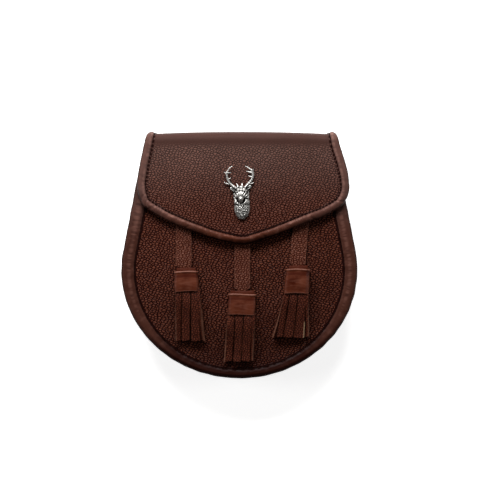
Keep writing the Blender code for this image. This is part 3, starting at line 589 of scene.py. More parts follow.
stitch = {"Pitch": 0.0034, "Length": 0.0027, "Thread": 0.00072, "Arch": 0.00010, "Slant": 0.0, "Seed": 7}
bodyBand = {
    "stations": 440, "sideWidth": 0.0128, "lowWidth": 0.0092, "lumps": 0.00018, "gather": 0.00034,
    "ruffle": 0.00028, "rufflePitch": 0.0081, "stitchIn": 0.0015, "stitchUp": 0.0055,
    # from the inner lip over the crown to the leg: millimetres, share of the width, height in millimetres
    "section": ((-0.05, 1, 5.14), (-0.02, 1, 5.42), (-0.50, 1, 5.58), (-1.60, 1, 5.50), (-2.60, 1, 5.95),
                (0.0, 0.64, 6.50), (0.0, 0.38, 6.86), (2.60, 0, 6.66), (0.90, 0, 5.70), (0.12, 0, 4.50),
                (0.0, 0, 3.25), (0.12, 0, 2.00), (0.85, 0, 0.68), (2.60, 0, 0.08), (7.40, 0, 0.0),
                (8.00, 0, 0.45), (8.00, 0, 1.20)),
    "inside": ((0.0015, 0.0012), (0.0015, 0.0053)),
    # creases across the band: metres along from the top left end, slant, half width, depth
    "creases": ((0.0515, 0.15, 0.0008, 0.00048), (0.0541, -0.10, 0.0007, 0.00044), (0.0569, 0.05, 0.0008, 0.00052),
                (0.0597, 0.20, 0.0007, 0.00046), (0.0626, -0.05, 0.0008, 0.00052), (0.0658, 0.10, 0.0007, 0.00046),
                (0.0690, -0.15, 0.0008, 0.00050), (0.0728, 0.30, 0.0010, 0.00050), (0.0770, -0.30, 0.0010, 0.00040),
                (0.1180, 0.20, 0.0016, 0.00020), (0.1420, -0.20, 0.0018, 0.00018), (0.3560, 0.20, 0.0017, 0.00018),
                (0.3900, -0.20, 0.0015, 0.00018), (0.4350, 0.10, 0.0013, 0.00022)),
}


def beat(metres):  # 1 at each stitch, 0 halfway between two
    return 0.5 + 0.5 * math.cos(metres * 2 * math.pi / stitch["Pitch"])


def bandWidth(outs):  # how much the seam runs along the bottom, and how wide the band is there
    low = np.clip(-outs[:, 1], 0, 1) ** 2
    return low, mix(bodyBand["sideWidth"], bodyBand["lowWidth"], low)


def bandSection(corners):  # the section's curve, its outward directions, metres over it and their share
    run = rounded(corners, 3)
    slope = unit(np.gradient(run, axis=0))
    over = runLength(run)
    return run, np.column_stack([slope[:, 1], -slope[:, 0]]), over, over / over[-1]


def creaseDepth(creases, s, over, middle):
    return sum(depth * bell(s - slant * (over - middle), at, half) for at, slant, half, depth in creases)


def bandLay(s, over, wornAndPaintedLight):  # the section's last two points are hidden inside
    return np.column_stack([np.full(len(over) + 2, s), np.append(over, [over[-1]] * 2), np.append(wornAndPaintedLight, [-1, -1])])


def bandMesh(baseZ, isBack, seed):
    points, outs, lengths = seamRun(bodyBand["stations"])
    corners = np.array(bodyBand["section"])
    rings, lay = [], []
    for point, out, s, low, width in zip(points, outs, lengths, *bandWidth(outs)):
        across = corners[:, 0] * 0.001 + corners[:, 1] * width
        run, face, over, share = bandSection(np.column_stack([across, corners[:, 2] * 0.001]))
        push = bodyBand["lumps"] * waves(s + over * 0.3, over, 0.016, seed)
        push -= bodyBand["gather"] * bell(over, 0.0018, 0.0010) * beat(s)
        ruffle = low * smooth((0.0055 - over) / 0.004) * smooth(over / 0.0008)
        turn = s * 2 * math.pi / bodyBand["rufflePitch"] + 1.5 * math.sin(s * 90)
        push += bodyBand["ruffle"] * ruffle * math.sin(turn)
        if not isBack:
            bare = smooth(over / 0.003) * smooth((0.0095 - over) / 0.003)
            push -= creaseDepth(bodyBand["creases"], s, over, 0.006) * bare
        shown = smooth(share / 0.04) * smooth((0.80 - share) / 0.10)
        run = np.vstack([run + face * (push * shown)[:, None], bodyBand["inside"]])
        height = np.maximum(body["seamHeight"] - run[:, 1], 0.0) if isBack else run[:, 1]
        rings.append(np.column_stack([point - out * run[:, :1], baseZ + height]))
        # Lighter along the crest of the roll: rub and painted highlight, less of it along the bottom.
        wornAndPaintedLight = 0.45 * bell(share, 0.25, 0.07) * (1 - 0.85 * low)
        if not isBack:
            # Painted highlight on the front band beside the flap's left corner.
            wornAndPaintedLight = wornAndPaintedLight + 0.45 * bell(share, 0.27, 0.12) * bell(s, 0.062, 0.022)
        # Dark line by the stitches, strongest at each one: dark seam and painted shade in its groove.
        wornAndPaintedLight = wornAndPaintedLight - mix(0.68, 1.0, beat(s)) * smooth((0.0025 - over) / 0.0006)
        # Painted shade on the outer side of the roll and along the bottom.
        wornAndPaintedLight = wornAndPaintedLight - 0.46 * smooth((share - 0.42) / 0.06) - 0.68 * smooth(low * 1.3)
        lay.append(bandLay(s, over, wornAndPaintedLight))
    return sweep(rings, lay)


seams = (("front", body["frontSeamZ"], False, 3), ("back", 0.0, True, 4))
for side, baseZ, isBack, seed in seams:
    putInPlace(side + "BindingLeather", bandMesh(baseZ, isBack, seed), finishes["bodyBand"],
               [side + "_binding"])
print("seam bindings made")


# Geometry nodes: a path made into a plain mesh

def nodeModifier(name, numbers, others):  # a geometry tree with named inputs
    tree = bpy.data.node_groups.new(name, "GeometryNodeTree")
    inputs = {"Geometry": "NodeSocketGeometry", **dict.fromkeys(numbers, "NodeSocketFloat"), **others}
    for key, kind in inputs.items():
        tree.interface.new_socket(key, in_out="INPUT", socket_type=kind)
    tree.interface.new_socket("Geometry", in_out="OUTPUT", socket_type="NodeSocketGeometry")
    made = Tree(tree)
    entry = tree.nodes.new("NodeGroupInput")
    return tree, made, {socket.name: Value(made, socket) for socket in entry.outputs if socket.name}


def endTree(tree, made, geometry, finish):  # real geometry with its material
    smoothed = made.node("GeometryNodeRealizeInstances", {}, {0: geometry})
    smoothed = made.node("GeometryNodeSetShadeSmooth", {}, {0: smoothed})
    leave = tree.nodes.new("NodeGroupOutput")
    made.feed(leave.inputs[0], made.node("GeometryNodeSetMaterial", {}, {"Geometry": smoothed, "Material": finish}))
    return tree


def pathMesh(points, outs):
    mesh = bpy.data.meshes.new("path")
    mesh.from_pydata(np.asarray(points).tolist(), [(i, i + 1) for i in range(len(points) - 1)], [])
    addMark(mesh, "out", outs)
    addMark(mesh, "metres", runLength(np.asarray(points)))
    return mesh


def grow(mesh, tree, values):  # runs a tree on a mesh and keeps the result as a plain mesh
    carrier = addToScene("path", mesh)
    modifier = carrier.modifiers.new("grow", "NODES")
    modifier.node_group = tree
    for item in tree.interface.items_tree:
        if item.item_type == "SOCKET" and item.in_out == "INPUT" and item.name in values:
            modifier[item.identifier] = values[item.name]
    bpy.context.view_layer.update()
    graph = bpy.context.evaluated_depsgraph_get()
    made = bpy.data.meshes.new_from_object(carrier.evaluated_get(graph), preserve_all_data_layers=True,
                                           depsgraph=graph)
    carrier.modifiers.clear()
    bpy.data.objects.remove(carrier)
    return made


def stitchTree():
    tree, made, given = nodeModifier("stitchRow", ("Pitch", "Length", "Thread", "Arch", "Slant"),
                                     {"Seed": "NodeSocketInt", "Finish": "NodeSocketMaterial"})
    path = made.node("GeometryNodeMeshToCurve", {}, {0: given["Geometry"]})
    path = made.node("GeometryNodeResampleCurve", {"mode": "LENGTH"}, {"Curve": path, "Length": given["Pitch"]})
    half = given["Length"] * 0.5
    bow = made.node("GeometryNodeCurveQuadraticBezier", {}, {
        "Resolution": 7, "Start": made.place(-half, 0.0, -given["Arch"]),
        "Middle": made.place(0.0, 0.0, given["Arch"] * 2.2), "End": made.place(half, 0.0, -given["Arch"])})
    ring = made.node("GeometryNodeCurvePrimitiveCircle", {}, {"Resolution": 6, "Radius": given["Thread"] * 0.5})
    thread = made.node("GeometryNodeCurveToMesh", {}, {"Curve": bow, "Profile Curve": ring, "Fill Caps": True})
    turn = made.node("FunctionNodeAlignRotationToVector", {"axis": "X"},
                     {"Vector": made.node("GeometryNodeInputTangent")})
    turn = made.node("FunctionNodeAlignRotationToVector", {"axis": "Z", "pivot_axis": "X"},
                     {"Rotation": turn, "Vector": made.stored("out", "FLOAT_VECTOR")})
    lean, size = (made.node("FunctionNodeRandomValue", {"data_type": "FLOAT"}, {2: low, 3: high, "Seed": seed}, 1)
                  for low, high, seed in ((-0.10, 0.10, given["Seed"]), (0.90, 1.06, given["Seed"] + 1.0)))
    turn = made.node("FunctionNodeRotateRotation", {"rotation_space": "LOCAL"},
                     {"Rotation": turn, "Rotate By": made.place(0.0, 0.0, lean + given["Slant"])})
    many = made.node("GeometryNodeInstanceOnPoints", {},
                     {"Points": path, "Instance": thread, "Rotation": turn, "Scale": size})
    return endTree(tree, made, many, given["Finish"])


stitchNodes = stitchTree()


def stitchRow(points, outs, **changed):
    return grow(pathMesh(points, outs), stitchNodes, {**stitch, "Finish": finishes["thread"], **changed})


def joinMeshes(meshes):
    bm = bmesh.new()
    for mesh in meshes:
        bm.from_mesh(mesh)
    for face in bm.faces:
        face.material_index = 0
    joined = bpy.data.meshes.new("stitches")
    bm.to_mesh(joined)
    bm.free()
    return joined


def seamStitches(baseZ, isBack, seed):
    points, outs, _ = seamRun(900)
    spot = points - outs * (bandWidth(outs)[1] - bodyBand["stitchIn"])[:, None]
    height = body["seamHeight"] - bodyBand["stitchUp"] if isBack else bodyBand["stitchUp"]
    up = np.zeros((len(spot), 3))
    up[:, 2] = -1 if isBack else 1
    return stitchRow(np.column_stack([spot, np.full(len(spot), baseZ + height)]), up, Seed=seed + 4)


for side, baseZ, isBack, seed in seams:
    putInPlace(side + "SeamStitches", seamStitches(baseZ, isBack, seed), finishes["thread"])
print("seams stitched")


# Side wall, swept along the seam by geometry nodes

gusset = {"leather": 0.0014, "Rim": 0.0018, "Wall": 0.0093, "Fold": 0.0030, "Rows": 44, "Wrinkle": 0.0009}


def gussetTree():  # the section's first and last fifths lie in the seams
    tree, made, given = nodeModifier("sideWall", ("Rim", "Wall", "Fold", "Low", "High", "Wrinkle"),
                                     {"Rows": "NodeSocketInt", "Finish": "NodeSocketMaterial"})
    path = made.node("GeometryNodeMeshToCurve", {}, {0: given["Geometry"]})
    path = made.node("GeometryNodeSetCurveNormal", {"mode": "Z_UP"}, {0: path})
    line = made.node("GeometryNodeCurvePrimitiveLine", {}, {"Start": (0, 0, 0), "End": (1, 0, 0)})
    line = made.node("GeometryNodeResampleCurve", {}, {"Curve": line, "Count": given["Rows"]})
    t = made.node("GeometryNodeSplineParameter")
    flangeLow = (t / 0.2).under(1.0)
    rise = ((t - 0.2) / 0.6).over(0.0).under(1.0)
    flangeHigh = ((t - 0.8) / 0.2).over(0.0)
    bulge = made.node("ShaderNodeMath", {"operation": "SINE"}, {0: rise * math.pi})
    inwards = given["Rim"] + (given["Wall"] - given["Rim"]) * (flangeLow - flangeHigh) + given["Fold"] * bulge
    height = given["Low"] + (given["High"] - given["Low"]) * rise
    section = made.place(-inwards, -height)
    line = made.node("GeometryNodeSetPosition", {}, {"Geometry": line, "Position": section})
    wall = made.node("GeometryNodeCurveToMesh", {}, {"Curve": path, "Profile Curve": line})
    spot = made.node("GeometryNodeInputPosition")
    ripple = made.speckle(made.vector("MULTIPLY", spot, (1.0, 1.0, 0.12)), 95.0) - 0.5
    middle = (given["Low"] + given["High"]) * 0.5
    reach = (given["High"] - given["Low"]) * 0.5
    level = made.parts(spot)[2]
    away = made.node("ShaderNodeMath", {"operation": "ABSOLUTE"}, {0: (level - middle) / reach})
    amount = ripple * given["Wrinkle"] * (1.0 - away).over(0.0)
    push = made.node("ShaderNodeVectorMath", {"operation": "SCALE"},
                     {0: made.node("GeometryNodeInputNormal"), "Scale": amount})
    wall = made.node("GeometryNodeSetPosition", {}, {"Geometry": wall, "Offset": push})
    wall = made.node("GeometryNodeStoreNamedAttribute", {"data_type": "FLOAT_VECTOR"},
                     {"Geometry": wall, "Name": "lay", "Value": made.place(made.stored("metres", "FLOAT"), level)})
    return endTree(tree, made, wall, given["Finish"])


def sideWall():
    points, outs, _ = seamRun(340)
    sunk = body["seamWall"] + body["gap"] + gusset["leather"] / 2
    flat, out = (np.column_stack([run, np.zeros(len(run))]) for run in (points, outs))
    return grow(pathMesh(flat, out), gussetTree(), {**gusset, "Low": body["seamHeight"] - sunk,
                                                    "High": body["frontSeamZ"] + sunk,
                                                    "Finish": finishes["bodyGrain"]})


wall = putInPlace("gussetLeather", sideWall(), finishes["bodyGrain"], ["gusset"])
thick = wall.modifiers.new("thickness", "SOLIDIFY")
thick.thickness, thick.offset, thick.use_even_offset = gusset["leather"], 0.0, True
print("side wall made")


# Flap

flap = {
    "lift": 0.0052, "foldDepth": 0.0096, "foldHalf": 0.0155, "foldBow": 0.0017, "squareness": 0.6,
    "hemHalf": 0.0670, "hemY": 0.0800, "hemClear": 0.0007, "wave": 0.00045, "waveSize": 0.060, "columns": 150,
    "hemRows": 2, "foldRows": 8, "frontRows": 10,
    "reach": 0.0016,  # the binding's edge past the leather's
    "edge": ((-0.0819, 0.0960), (-0.0865, 0.0720), (-0.0878, 0.0595), (-0.0863, 0.0498), (-0.0830, 0.0428),
             (-0.0750, 0.0370), (-0.0414, 0.0209), (-0.0120, 0.0114), (0.0050, 0.0091), (0.0200, 0.0132),
             (0.0565, 0.0272), (0.0800, 0.0370), (0.0902, 0.0450), (0.0945, 0.0552), (0.0943, 0.0640),
             (0.0861, 0.0960)),
    "leftCorner": 4, "rightCorner": 12,
}
foldStart = flap["hemRows"]
frontStart = foldStart + flap["foldRows"]
lastRow = frontStart + flap["frontRows"]
badge = {"x": 0.0015, "y": 0.0520}


def throughPoints(points, steps):  # a smooth curve that passes through every point
    points = np.array(points)
    lengths = np.linalg.norm(np.diff(points, axis=0), axis=1)
    slopes = np.gradient(points, np.concatenate([[0.0], np.cumsum(lengths)]), axis=0)
    run = [points[0]]
    for i, length in enumerate(lengths):
        for t in np.linspace(0, 1, steps + 1)[1:]:
            run.append((2 * t ** 3 - 3 * t ** 2 + 1) * points[i] + (t ** 3 - 2 * t ** 2 + t) * length * slopes[i]
                       + (3 * t ** 2 - 2 * t ** 3) * points[i + 1] + (t ** 3 - t ** 2) * length * slopes[i + 1])
    return np.array(run)


def flapSides():  # left side, lower edge and right side
    steps = 12
    run = throughPoints(flap["edge"], steps)
    slopes = unit(np.gradient(run, axis=0))
    run = run + flap["reach"] * np.column_stack([-slopes[:, 1], slopes[:, 0]])
    a, b = flap["leftCorner"] * steps, flap["rightCorner"] * steps
    return run[:a + 1], run[a:b + 1], run[b:][::-1]


flapLeft, flapLower, flapRight = flapSides()


def alongRun(run, share):
    lengths = runLength(run)
    at = np.asarray(share) * lengths[-1]
    return np.stack([np.interp(at, lengths, run[:, axis]) for axis in (0, 1)], axis=-1)


def flapPlan(across, down):
    left, right, lower = alongRun(flapLeft, down), alongRun(flapRight, down), alongRun(flapLower, across)
    across, down = across[..., None], down[..., None]
    top = mix(flapLeft[0], flapRight[0], across)
    corners = mix(top, mix(flapLeft[-1], flapRight[-1], across), down)
    return mix(top, lower, down) + mix(left, right, across) - corners


def flapHeight(x, y):
    calm = 1.0 - 0.8 * np.exp(-((x - badge["x"]) / 0.016) ** 2 - ((y - badge["y"]) / 0.026) ** 2)
    soft = flap["wave"] * waves(x, y, flap["waveSize"], 23) * smooth((0.094 - y) / 0.02) * calm
    return frontHeight(x, y) + flap["lift"] + soft


def hemHeight(x, y):
    return backHeight(x, y) + flap["hemClear"] + body["leather"] / 2


def foldCurve(turn):  # outwards and upwards from 0 on the front to 1 on the back, squarer than a circle
    sine, cosine = np.sin(math.pi * turn), np.cos(math.pi * turn)
    return np.abs(sine) ** flap["squareness"], np.sign(cosine) * np.abs(cosine) ** flap["squareness"]


def flapPoint(across, row):  # rows run from the hem over the fold to the lower edge
    across, row = np.broadcast_arrays(np.asarray(across, float), np.asarray(row, float))
    startY = flapLeft[0][1]
    hemX = mix(-flap["hemHalf"], flap["hemHalf"], across)
    hemLine = mix(flap["hemY"], startY, np.clip(row / foldStart, 0, 1))
    hemPoint = np.stack([hemX, hemLine, hemHeight(hemX, hemLine)], axis=-1)
    turn = np.clip(1.0 - (row - foldStart) / flap["foldRows"], 0, 1)
    out, level = foldCurve(turn)
    out = out * ((turn > 1e-6) & (turn < 1 - 1e-6))
    drawn = body["sideTaper"] * flap["foldDepth"] * out
    toHem = smooth((turn - 0.72) / 0.28)
    x = mix(mix(flapLeft[0][0] + drawn, -flap["hemHalf"], toHem),
            mix(flapRight[0][0] - drawn, flap["hemHalf"], toHem), across)
    bow = flap["foldBow"] * (x / body["halfWidth"] / 0.8) ** 2
    high, low = flapHeight(x, startY), hemHeight(x, startY)
    foldPoint = np.stack([x, startY + (flap["foldDepth"] - bow) * out,
                          (high + low) / 2 + (high - low) / 2 * level], axis=-1)
    plan = flapPlan(across, np.clip((row - frontStart) / flap["frontRows"], 0, 1))
    frontPoint = np.concatenate([plan, flapHeight(plan[..., 0], plan[..., 1])[..., None]], axis=-1)
    row = row[..., None]
    return np.where(row < foldStart, hemPoint, np.where(row < frontStart, foldPoint, frontPoint))


def foldRowsEven(count):  # rows over the fold spaced by length, not by angle
    turns = np.linspace(0, 1, 4001)
    out, level = foldCurve(turns)
    lengths = runLength(np.column_stack([flap["foldDepth"] * out, flap["foldHalf"] * level]))
    even = np.interp(np.linspace(0, lengths[-1], count), lengths, turns)
    return foldStart + flap["foldRows"] * (1.0 - even[::-1])


hemPart, foldPart = np.linspace(0, foldStart, 12)[:-1], foldRowsEven(46)[:-1]
flapRows = np.concatenate([hemPart, foldPart, np.linspace(frontStart, lastRow, 90)])
grid = flapPoint(np.linspace(0, 1, flap["columns"])[None, :], flapRows[:, None])
putInPlace("flapLeather", leatherSheet(grid, body["leather"], 0.5, layOf(grid, len(hemPart) + len(foldPart))),
           finishes["flapGrain"], ["flap"])
print("flap made")


flapBand = {
    "stations": 460, "firstRow": 4, "lumps": 0.00020, "gather": 0.00018,
    "stitchIn": 0.00555, "stitchUp": 0.00142, "stitchFrom": 0.016,
    # from the inner lip over the roll to the back leg: millimetres inside the leather's edge, height from its middle
    "section": ((6.92, 1.22), (6.92, 1.40), (6.45, 1.50), (5.50, 1.40), (4.80, 1.90), (3.80, 2.58), (2.40, 2.78),
                (0.90, 2.35), (-0.40, 1.55), (-1.30, 0.50), (-1.55, -0.70), (-0.75, -1.90), (1.20, -2.30),
                (3.40, -2.30), (5.10, -2.28), (5.40, -1.85), (5.40, -1.22)),
    "inside": ((-0.0003, -0.0012), (-0.0003, 0.0012)),
    # creases across: metres along from the left end, slant, half width, depth
    "creases": ((0.030, 0.3, 0.0011, 0.00027), (0.062, -0.5, 0.0012, 0.00033), (0.079, 0.6, 0.0012, 0.00045),
                (0.086, 0.9, 0.0011, 0.00051), (0.094, -0.6, 0.0014, 0.00039), (0.113, 0.8, 0.0018, 0.00036),
                (0.131, -0.8, 0.0016, 0.00033), (0.150, 0.7, 0.0018, 0.00039), (0.171, -0.6, 0.0016, 0.00033),
                (0.196, 0.8, 0.0016, 0.00039), (0.214, -0.7, 0.0017, 0.00033), (0.240, 0.8, 0.0014, 0.00036),
                (0.262, -0.5, 0.0013, 0.00045), (0.271, 0.7, 0.0012, 0.00051), (0.292, -0.4, 0.0012, 0.00033)),
}


def flapEdgeFrames(count):  # evenly spaced along the sides and lower edge
    rows = np.concatenate([foldRowsEven(120)[30:-1], np.linspace(frontStart, lastRow, 200)])
    rows = rows[rows >= flapBand["firstRow"]]
    overs = np.linspace(0, 1, 500)[1:-1]
    path = np.vstack([np.column_stack([np.zeros(len(rows)), rows]),
                      np.column_stack([overs, np.full(len(overs), float(lastRow))]),
                      np.column_stack([np.ones(len(rows)), rows[::-1]])])
    points, path = evenRun(flapPoint(path[:, 0], path[:, 1]), count, path)
    across, row = path.T
    step, stride = 0.004, 0.25
    sideways = flapPoint(np.minimum(across + step, 1), row) - flapPoint(np.maximum(across - step, 0), row)
    downwards = (flapPoint(across, np.minimum(row + stride, lastRow))
                 - flapPoint(across, np.maximum(row - stride, 0)))
    face = unit(np.cross(downwards, sideways))
    inwards = unit(np.cross(face, unit(np.gradient(points, axis=0))))
    level = unit(np.where(across[:, None] < 0.5, sideways, -sideways))
    inwards = unit(mix(level, inwards, smooth((row - frontStart + 0.6) / 1.2)[:, None]))
    return points, inwards, face, runLength(points)


def flapBandMesh():
    points, inwards, face, lengths = flapEdgeFrames(flapBand["stations"])
    whole = lengths[-1]
    section = np.array(flapBand["section"]) * 0.001
    rings, lay = [], []
    for i, s in enumerate(lengths):
        run, out, over, share = bandSection(section)
        push = flapBand["lumps"] * waves(s + over * 0.6, over, 0.014, 31)
        push -= flapBand["gather"] * bell(over, 0.0020, 0.0009) * beat(s)
        push -= creaseDepth(flapBand["creases"], s, over, 0.005) * smooth((over - 0.001) / 0.002)
        shown = smooth(share / 0.04) * smooth((0.62 - share) / 0.12)
        run = np.vstack([run + out * (push * shown)[:, None], flapBand["inside"]])
        rings.append(points[i] + inwards[i] * run[:, :1] + face[i] * run[:, 1:])
        # Painted sheen towards both ends of the binding, up the flap's sides.
        ends = 0.5 * smooth((s - whole + 0.085) / 0.02) + 0.25 * smooth((0.090 - s) / 0.02)
        rubAndSheen = (0.80 + 0.35 * waves(s, 0.0, 0.045, 19) + ends
                  + 0.45 * waves(s + over * 1.1, over * 0.4, 0.008, 23))
        # Lighter along the crest of the roll: rub and painted highlight.
        wornAndPaintedLight = 0.62 * rubAndSheen * bell(share, 0.19, 0.07)
        # Dark line by the stitches, strongest at each one: dark seam and painted shade in its groove.
        wornAndPaintedLight -= mix(0.32, 1.0, beat(s)) * smooth((0.0024 - over) / 0.0006)
        # Painted shade on the outer side of the roll; darker across the middle of the lower edge.
        wornAndPaintedLight -= 0.54 * smooth((share - 0.40) / 0.07) + 0.54 * bell(s / whole, 0.51, 0.085)
        lay.append(bandLay(s, over, wornAndPaintedLight))
    return sweep(rings, lay)


putInPlace("flapBindingLeather", flapBandMesh(), finishes["flapBand"], ["flap_binding"])
points, inwards, face, lengths = flapEdgeFrames(900)
kept = (lengths > flapBand["stitchFrom"]) & (lengths < lengths[-1] - flapBand["stitchFrom"])
spot = (points + inwards * flapBand["stitchIn"] + face * flapBand["stitchUp"])[kept]
putInPlace("flapStitches", stitchRow(spot, face[kept], Seed=9, Thread=0.00085), finishes["thread"])
print("flap bound and stitched")


# Tassels

tasselTables = {
    "left": {
        "strapTopX": -0.0477, "strapLowX": -0.0477, "strapLowY": -0.0100, "capTop": (-0.0455, -0.0137),
        "capLow": (-0.0450, -0.0312), "capWidth": (0.0200, 0.0208), "lap": 0.86, "tip": (-0.0546, -0.0283, -0.0735),
        # front strips: left and right at the cap, left and right at the tip, twist at the tip, drop, shows its flesh
        "strips": ((-0.0550, -0.0493, -0.0546, -0.0500, -38, 0.0003, 0),
                   (-0.0488, -0.0417, -0.0494, -0.0424, 3, 0.0, 0),
                   (-0.0411, -0.0348, -0.0416, -0.0334, -5, 0.0004, 0),
                   (-0.0375, -0.0338, -0.0330, -0.0302, 58, -0.0003, 0),
                   (-0.0366, -0.0342, -0.0308, -0.0286, 66, 0.0006, 0))},
    "middle": {
        "strapTopX": 0.0026, "strapLowX": 0.0026, "strapLowY": -0.0290, "capTop": (0.0028, -0.0332),
        "capLow": (0.0020, -0.0512), "capWidth": (0.0237, 0.0228), "lap": 0.10, "tip": (-0.0135, 0.0124, -0.0911),
        "strips": ((-0.0100, -0.0078, -0.0138, -0.0120, -60, 0.0008, 0),
                   (-0.0092, -0.0040, -0.0124, -0.0058, -6, 0.0, 0),
                   (-0.0035, 0.0035, -0.0052, 0.0014, 3, 0.0005, 0),
                   (0.0040, 0.0113, 0.0020, 0.0093, -3, 0.0002, 0),
                   (0.0112, 0.0136, 0.0098, 0.0125, 62, -0.0003, 0))},
    "right": {
        "strapTopX": 0.0535, "strapLowX": 0.0500, "strapLowY": -0.0080, "capTop": (0.0505, -0.0118),
        "capLow": (0.0489, -0.0329), "capWidth": (0.0198, 0.0216), "lap": 0.80, "tip": (0.0282, 0.0601, -0.0705),
        "strips": ((0.0385, 0.0408, 0.0280, 0.0306, -62, 0.0004, 0),
                   (0.0388, 0.0430, 0.0314, 0.0371, -8, -0.0004, 0),
                   (0.0436, 0.0502, 0.0377, 0.0459, 2, 0.0002, 0),
                   (0.0508, 0.0565, 0.0465, 0.0562, 6, 0.0007, 1),
                   (0.0560, 0.0592, 0.0568, 0.0600, 55, -0.0002, 0))},
}
tassel = {
    "strapWidth": 0.0134, "underFlap": 0.0140, "tongueWidth": 0.0086, "tongueLength": 0.0080, "clear": 0.0004,
    "capWall": 0.0012, "capCorner": 0.0024, "stripLeather": 0.0016, "lip": 0.0030, "tipHeight": 0.0046,
    "backStrips": 4, "stripRows": 34, "corner": 0.0003, "strapCorner": 0.0004,
    # shares of the strap's length and how far it has risen there from the face to the head
    "rise": ((1.0, 1.0), (0.9, 0.88), (0.8, 0.6), (0.7, 0.3), (0.6, 0.1), (0.45, 0.0)),
}
headLow = tassel["clear"] + tassel["capWall"] + body["gap"]
headHigh = headLow + 2 * tassel["stripLeather"] + body["leather"] + 2 * body["gap"]


def onFace(x, y, height):
    return np.stack([x, y, faceHeight(x, y) + height], axis=-1)


def headPlane(table, x, y, height):  # the level that a tassel's head lies on
    midX, midY = (np.array(table["capTop"]) + table["capLow"]) / 2
    step = 0.006
    middle, right, left, upper, lower = frontHeight(midX + step * np.array([0, 1, -1, 0, 0]),
                                                    midY + step * np.array([0, 0, 0, 1, -1]))
    level = middle + (right - left) / (2 * step) * (x - midX) + (upper - lower) / (2 * step) * (y - midY)
    return np.stack([x, y, level + height], axis=-1)


def slabSection(width, thick, corner, cup=0.0, count=9):  # a strip's cut end: rounded corners, slightly cupped
    half, tall = width / 2, thick / 2
    turns = [(corner * (1 - math.sin(a)), corner * (1 - math.cos(a))) for a in np.linspace(0, math.pi / 2, 4)]
    right = [(half - a, b - tall) for a, b in turns] + [(half - b, tall - a) for a, b in turns]
    over = [(x, tall) for x in np.linspace(half - corner, corner - half, count)[1:-1]]
    ring = np.array(right + over + [(-x, -y) for x, y in right + over])
    ring[:, 1] += cup * (1 - (ring[:, 0] / half) ** 2)
    return ring


def edgeWear(ring, width, start, reach):  # 1 at a strip's two cut edges
    return smooth((np.abs(ring[:, 0]) / (width / 2) - start) / reach)


def strapPiece(table):
    lower = alongRun(flapLower, np.linspace(0, 1, 200))
    above = lower[np.abs(lower[:, 0] - table["strapTopX"]) < tassel["strapWidth"]]
    topY = above[:, 1].min() + tassel["underFlap"]
    lowY = table["strapLowY"]
    levels = np.concatenate([np.linspace(topY, lowY + 0.0006, 60),
                             np.linspace(lowY - 0.0004, lowY - tassel["tongueLength"], 8)])
    raised, lying = (headLow + headHigh) / 2, tassel["clear"] + body["leather"] / 2
    shares, rises = np.array(tassel["rise"]).T
    rings, lay = [], []
    for level in levels:
        if level > lowY:
            wide = tassel["strapWidth"]
            middle = mix(table["strapLowX"], table["strapTopX"], (level - lowY) / (topY - lowY))
        else:
            wide = tassel["tongueWidth"]
            middle = mix(table["capTop"][0], table["strapLowX"], 0.3)
        wide *= 1 + 0.012 * math.sin(level * 420 + middle * 90)
        ring = slabSection(wide, body["leather"], tassel["strapCorner"], count=13)
        x, y = middle + ring[:, 0], np.full(len(ring), level)
        flat = onFace(x, y, lying + ring[:, 1] + 0.00012 * waves(x, y, 0.02, 41))
        up = headPlane(table, x, y, raised + ring[:, 1])
        rings.append(mix(flat, up, np.interp(level, mix(topY, lowY, shares), rises)))
        lay.append(np.column_stack([x, y, edgeWear(ring, wide, 0.86, 0.14) * 0.8]))
    return sweep(rings, lay)


def ovalRing(half, low, high, corner, count=9):
    ring = []
    flats = np.linspace(0, 1, 14)[1:-1]
    for start, x, z in ((0, half - corner, high - corner), (90, corner - half, high - corner),
                        (180, corner - half, low + corner), (270, half - corner, low + corner)):
        for angle in np.radians(np.linspace(start, start + 90, count)):
            ring.append((x + corner * math.cos(angle), z + corner * math.sin(angle)))
        if start == 0:
            ring += [(mix(x, -x, t), high) for t in flats]
        if start == 180:
            ring += [(mix(x, -x, t), low) for t in flats]
    return np.array(ring)


def headSpot(table, along):
    x, y = (mix(table["capTop"][axis], table["capLow"][axis], along) for axis in (0, 1))
    return x, y, mix(*table["capWidth"], along)


